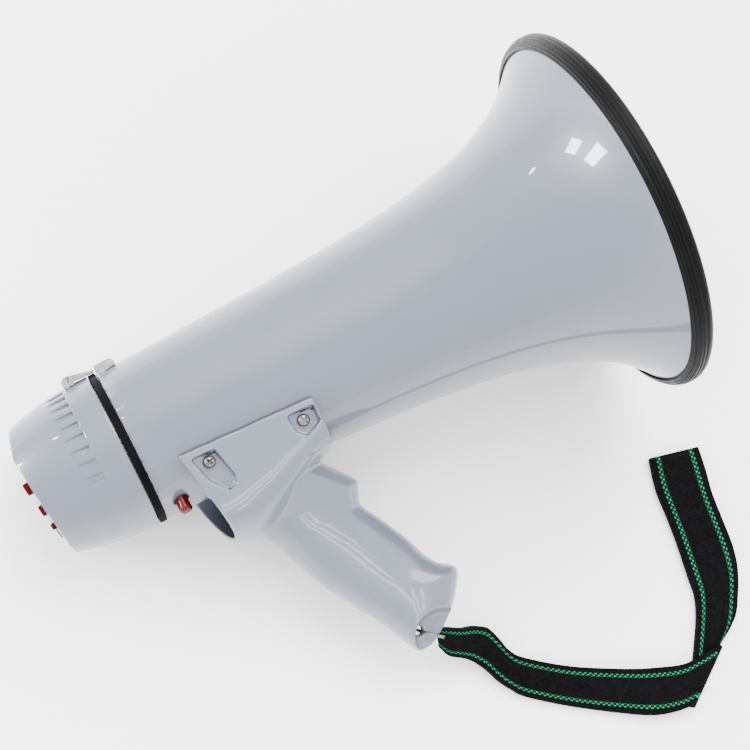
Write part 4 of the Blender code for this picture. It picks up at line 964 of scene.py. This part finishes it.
# Each finish with its pieces and the width of their broken edges
for look, kept_pieces in (
    (RED_CLEAR, {"talk_button": 0.0003}),
    (RED_GLOSS, {"power_button": 0.0003, "siren_button": 0.0003, "mode_slider": 0.0002}),
    (CLEAR, {"latch_lever": 0.0003, "latch_base": 0.00025, "latch_keeper": 0.0004}),
    (DARK_MOULDING_AND_SHADE, {"volume_dial": 0.0002, "mic_grille": 0.00015, "driver_cover": 0.0004, "driver_magnet": 0.0003,
            "battery_sleeve": 0.0003, "talk_switch": 0.0002, "terminal_plate": 0.0002, "power_switch": 0.0002,
            "siren_switch": 0.0002, "mode_switch": 0.0002, "volume_control": 0.0002}),
    (STEEL, {"latch_pin": 0.0001, "panel_screw_1": 0.0001, "panel_screw_2": 0.0001, "grip_screw_1": 0.0001,
             "grip_screw_2": 0.0001, "grip_screw_3": 0.0001, "driver_front_plate": 0.0002,
             "driver_yoke": 0.0003, "battery_bridge": 0.0001, "battery_spring_1": 0, "battery_spring_2": 0,
             "terminal_spring": 0, "terminal_contact": 0.0002}),
    (ALUMINIUM, {"microphone": 0.0002, "heat_sink": 0.0002}),
    (WRAP, {f"battery_cell_{number}": 0.0004 for number in (1, 2, 3, 4)}),
    (NYLON, {"link_socket": 0.0002, "link_plug": 0.0002}),
    (FILM, {"diaphragm": 0}),
    (BOARD, {"amplifier_board": 0.0001}),
    (LEAD_RED, {"speaker_lead_positive": 0}),
    (LEAD_BLACK, {"speaker_lead_negative": 0}),
):
    for kept_piece, edge_width in kept_pieces.items():
        dress(kept_piece, look, edge_width)


# ---------------------------------------------------------------- table, light and camera

floor = bpy.data.objects.new("tabletop", box_mesh("tabletop", (-6, -6, -0.01), (6, 6, 0)))
bpy.context.scene.collection.objects.link(floor)
floor.data.materials.append(finish("table_paper", (0.94, 0.94, 0.94), (0.97, 0.97, 0.97), 0.7, 0.02, 600, 3))


def softbox(name, direction, distance, size, power, centre=LAMP_CENTRE, along=(0, 0, 1)):
    """A rectangular lamp in a direction from a point of the megaphone, its length along a second one."""
    lamp = bpy.data.lights.new(name, "AREA")
    lamp.shape = "RECTANGLE"
    lamp.size, lamp.size_y = size
    lamp.energy = power
    obj = bpy.data.objects.new(name, lamp)
    way = Vector(direction).normalized()
    obj.location = POSE @ Vector(centre) + way * distance
    across = Vector(along).cross(way).normalized()
    obj.rotation_mode = "QUATERNION"
    obj.rotation_quaternion = Matrix((across, way.cross(across), way)).transposed().to_quaternion()
    bpy.context.scene.collection.objects.link(obj)
    return obj


for lamp_name, way, distance, size, power in LAMPS:
    softbox(lamp_name, way, distance, size, power)
lit = bpy.data.collections.new("lit_by_strips")
for handle_half in ("near_handle_half", "far_handle_half"):
    lit.objects.link(bpy.data.objects[handle_half])
for strip_number, (low_end, high_end, width, power) in enumerate(STRIPS):
    low_end, high_end = Vector(low_end).normalized(), Vector(high_end).normalized()
    span = high_end - low_end
    strip = softbox(f"strip_{strip_number}", low_end + high_end, 1.0, (width, span.length), power,
                    STRIP_CENTRE, span)
    strip.light_linking.receiver_collection = lit
sun = bpy.data.objects.new("diffused_sky", bpy.data.lights.new("diffused_sky", "SUN"))
sun.data.energy = SUN_POWER
sun.data.angle = SUN_SPREAD
sun.rotation_mode = "QUATERNION"
sun.rotation_quaternion = Vector(SUN_WAY).to_track_quat("Z", "Y")
bpy.context.scene.collection.objects.link(sun)

world = bpy.data.worlds.new("studio")
world.use_nodes = True
world.node_tree.nodes["Background"].inputs["Color"].default_value = (1, 1, 1, 1)
world.node_tree.nodes["Background"].inputs["Strength"].default_value = ROOM_LIGHT
bpy.context.scene.world = world

camera = bpy.data.objects.new("camera", bpy.data.cameras.new("camera"))
bpy.context.scene.collection.objects.link(camera)
heading, dip, lean = CAMERA_TURN
forward = Vector((math.sin(heading) * math.cos(dip), math.cos(heading) * math.cos(dip), math.sin(dip)))
level = Vector((math.cos(heading), -math.sin(heading), 0))
above = level.cross(forward)
right = level * math.cos(lean) - above * math.sin(lean)
upward = level * math.sin(lean) + above * math.cos(lean)
turn = Matrix((right, upward, -forward)).transposed().to_4x4()
camera.matrix_world = POSE @ Matrix.Translation(CAMERA_PLACE) @ turn
camera.data.lens = CAMERA_LENS
camera.data.clip_start, camera.data.clip_end = 0.02, 40
camera.data.dof.use_dof = False
bpy.context.scene.camera = camera
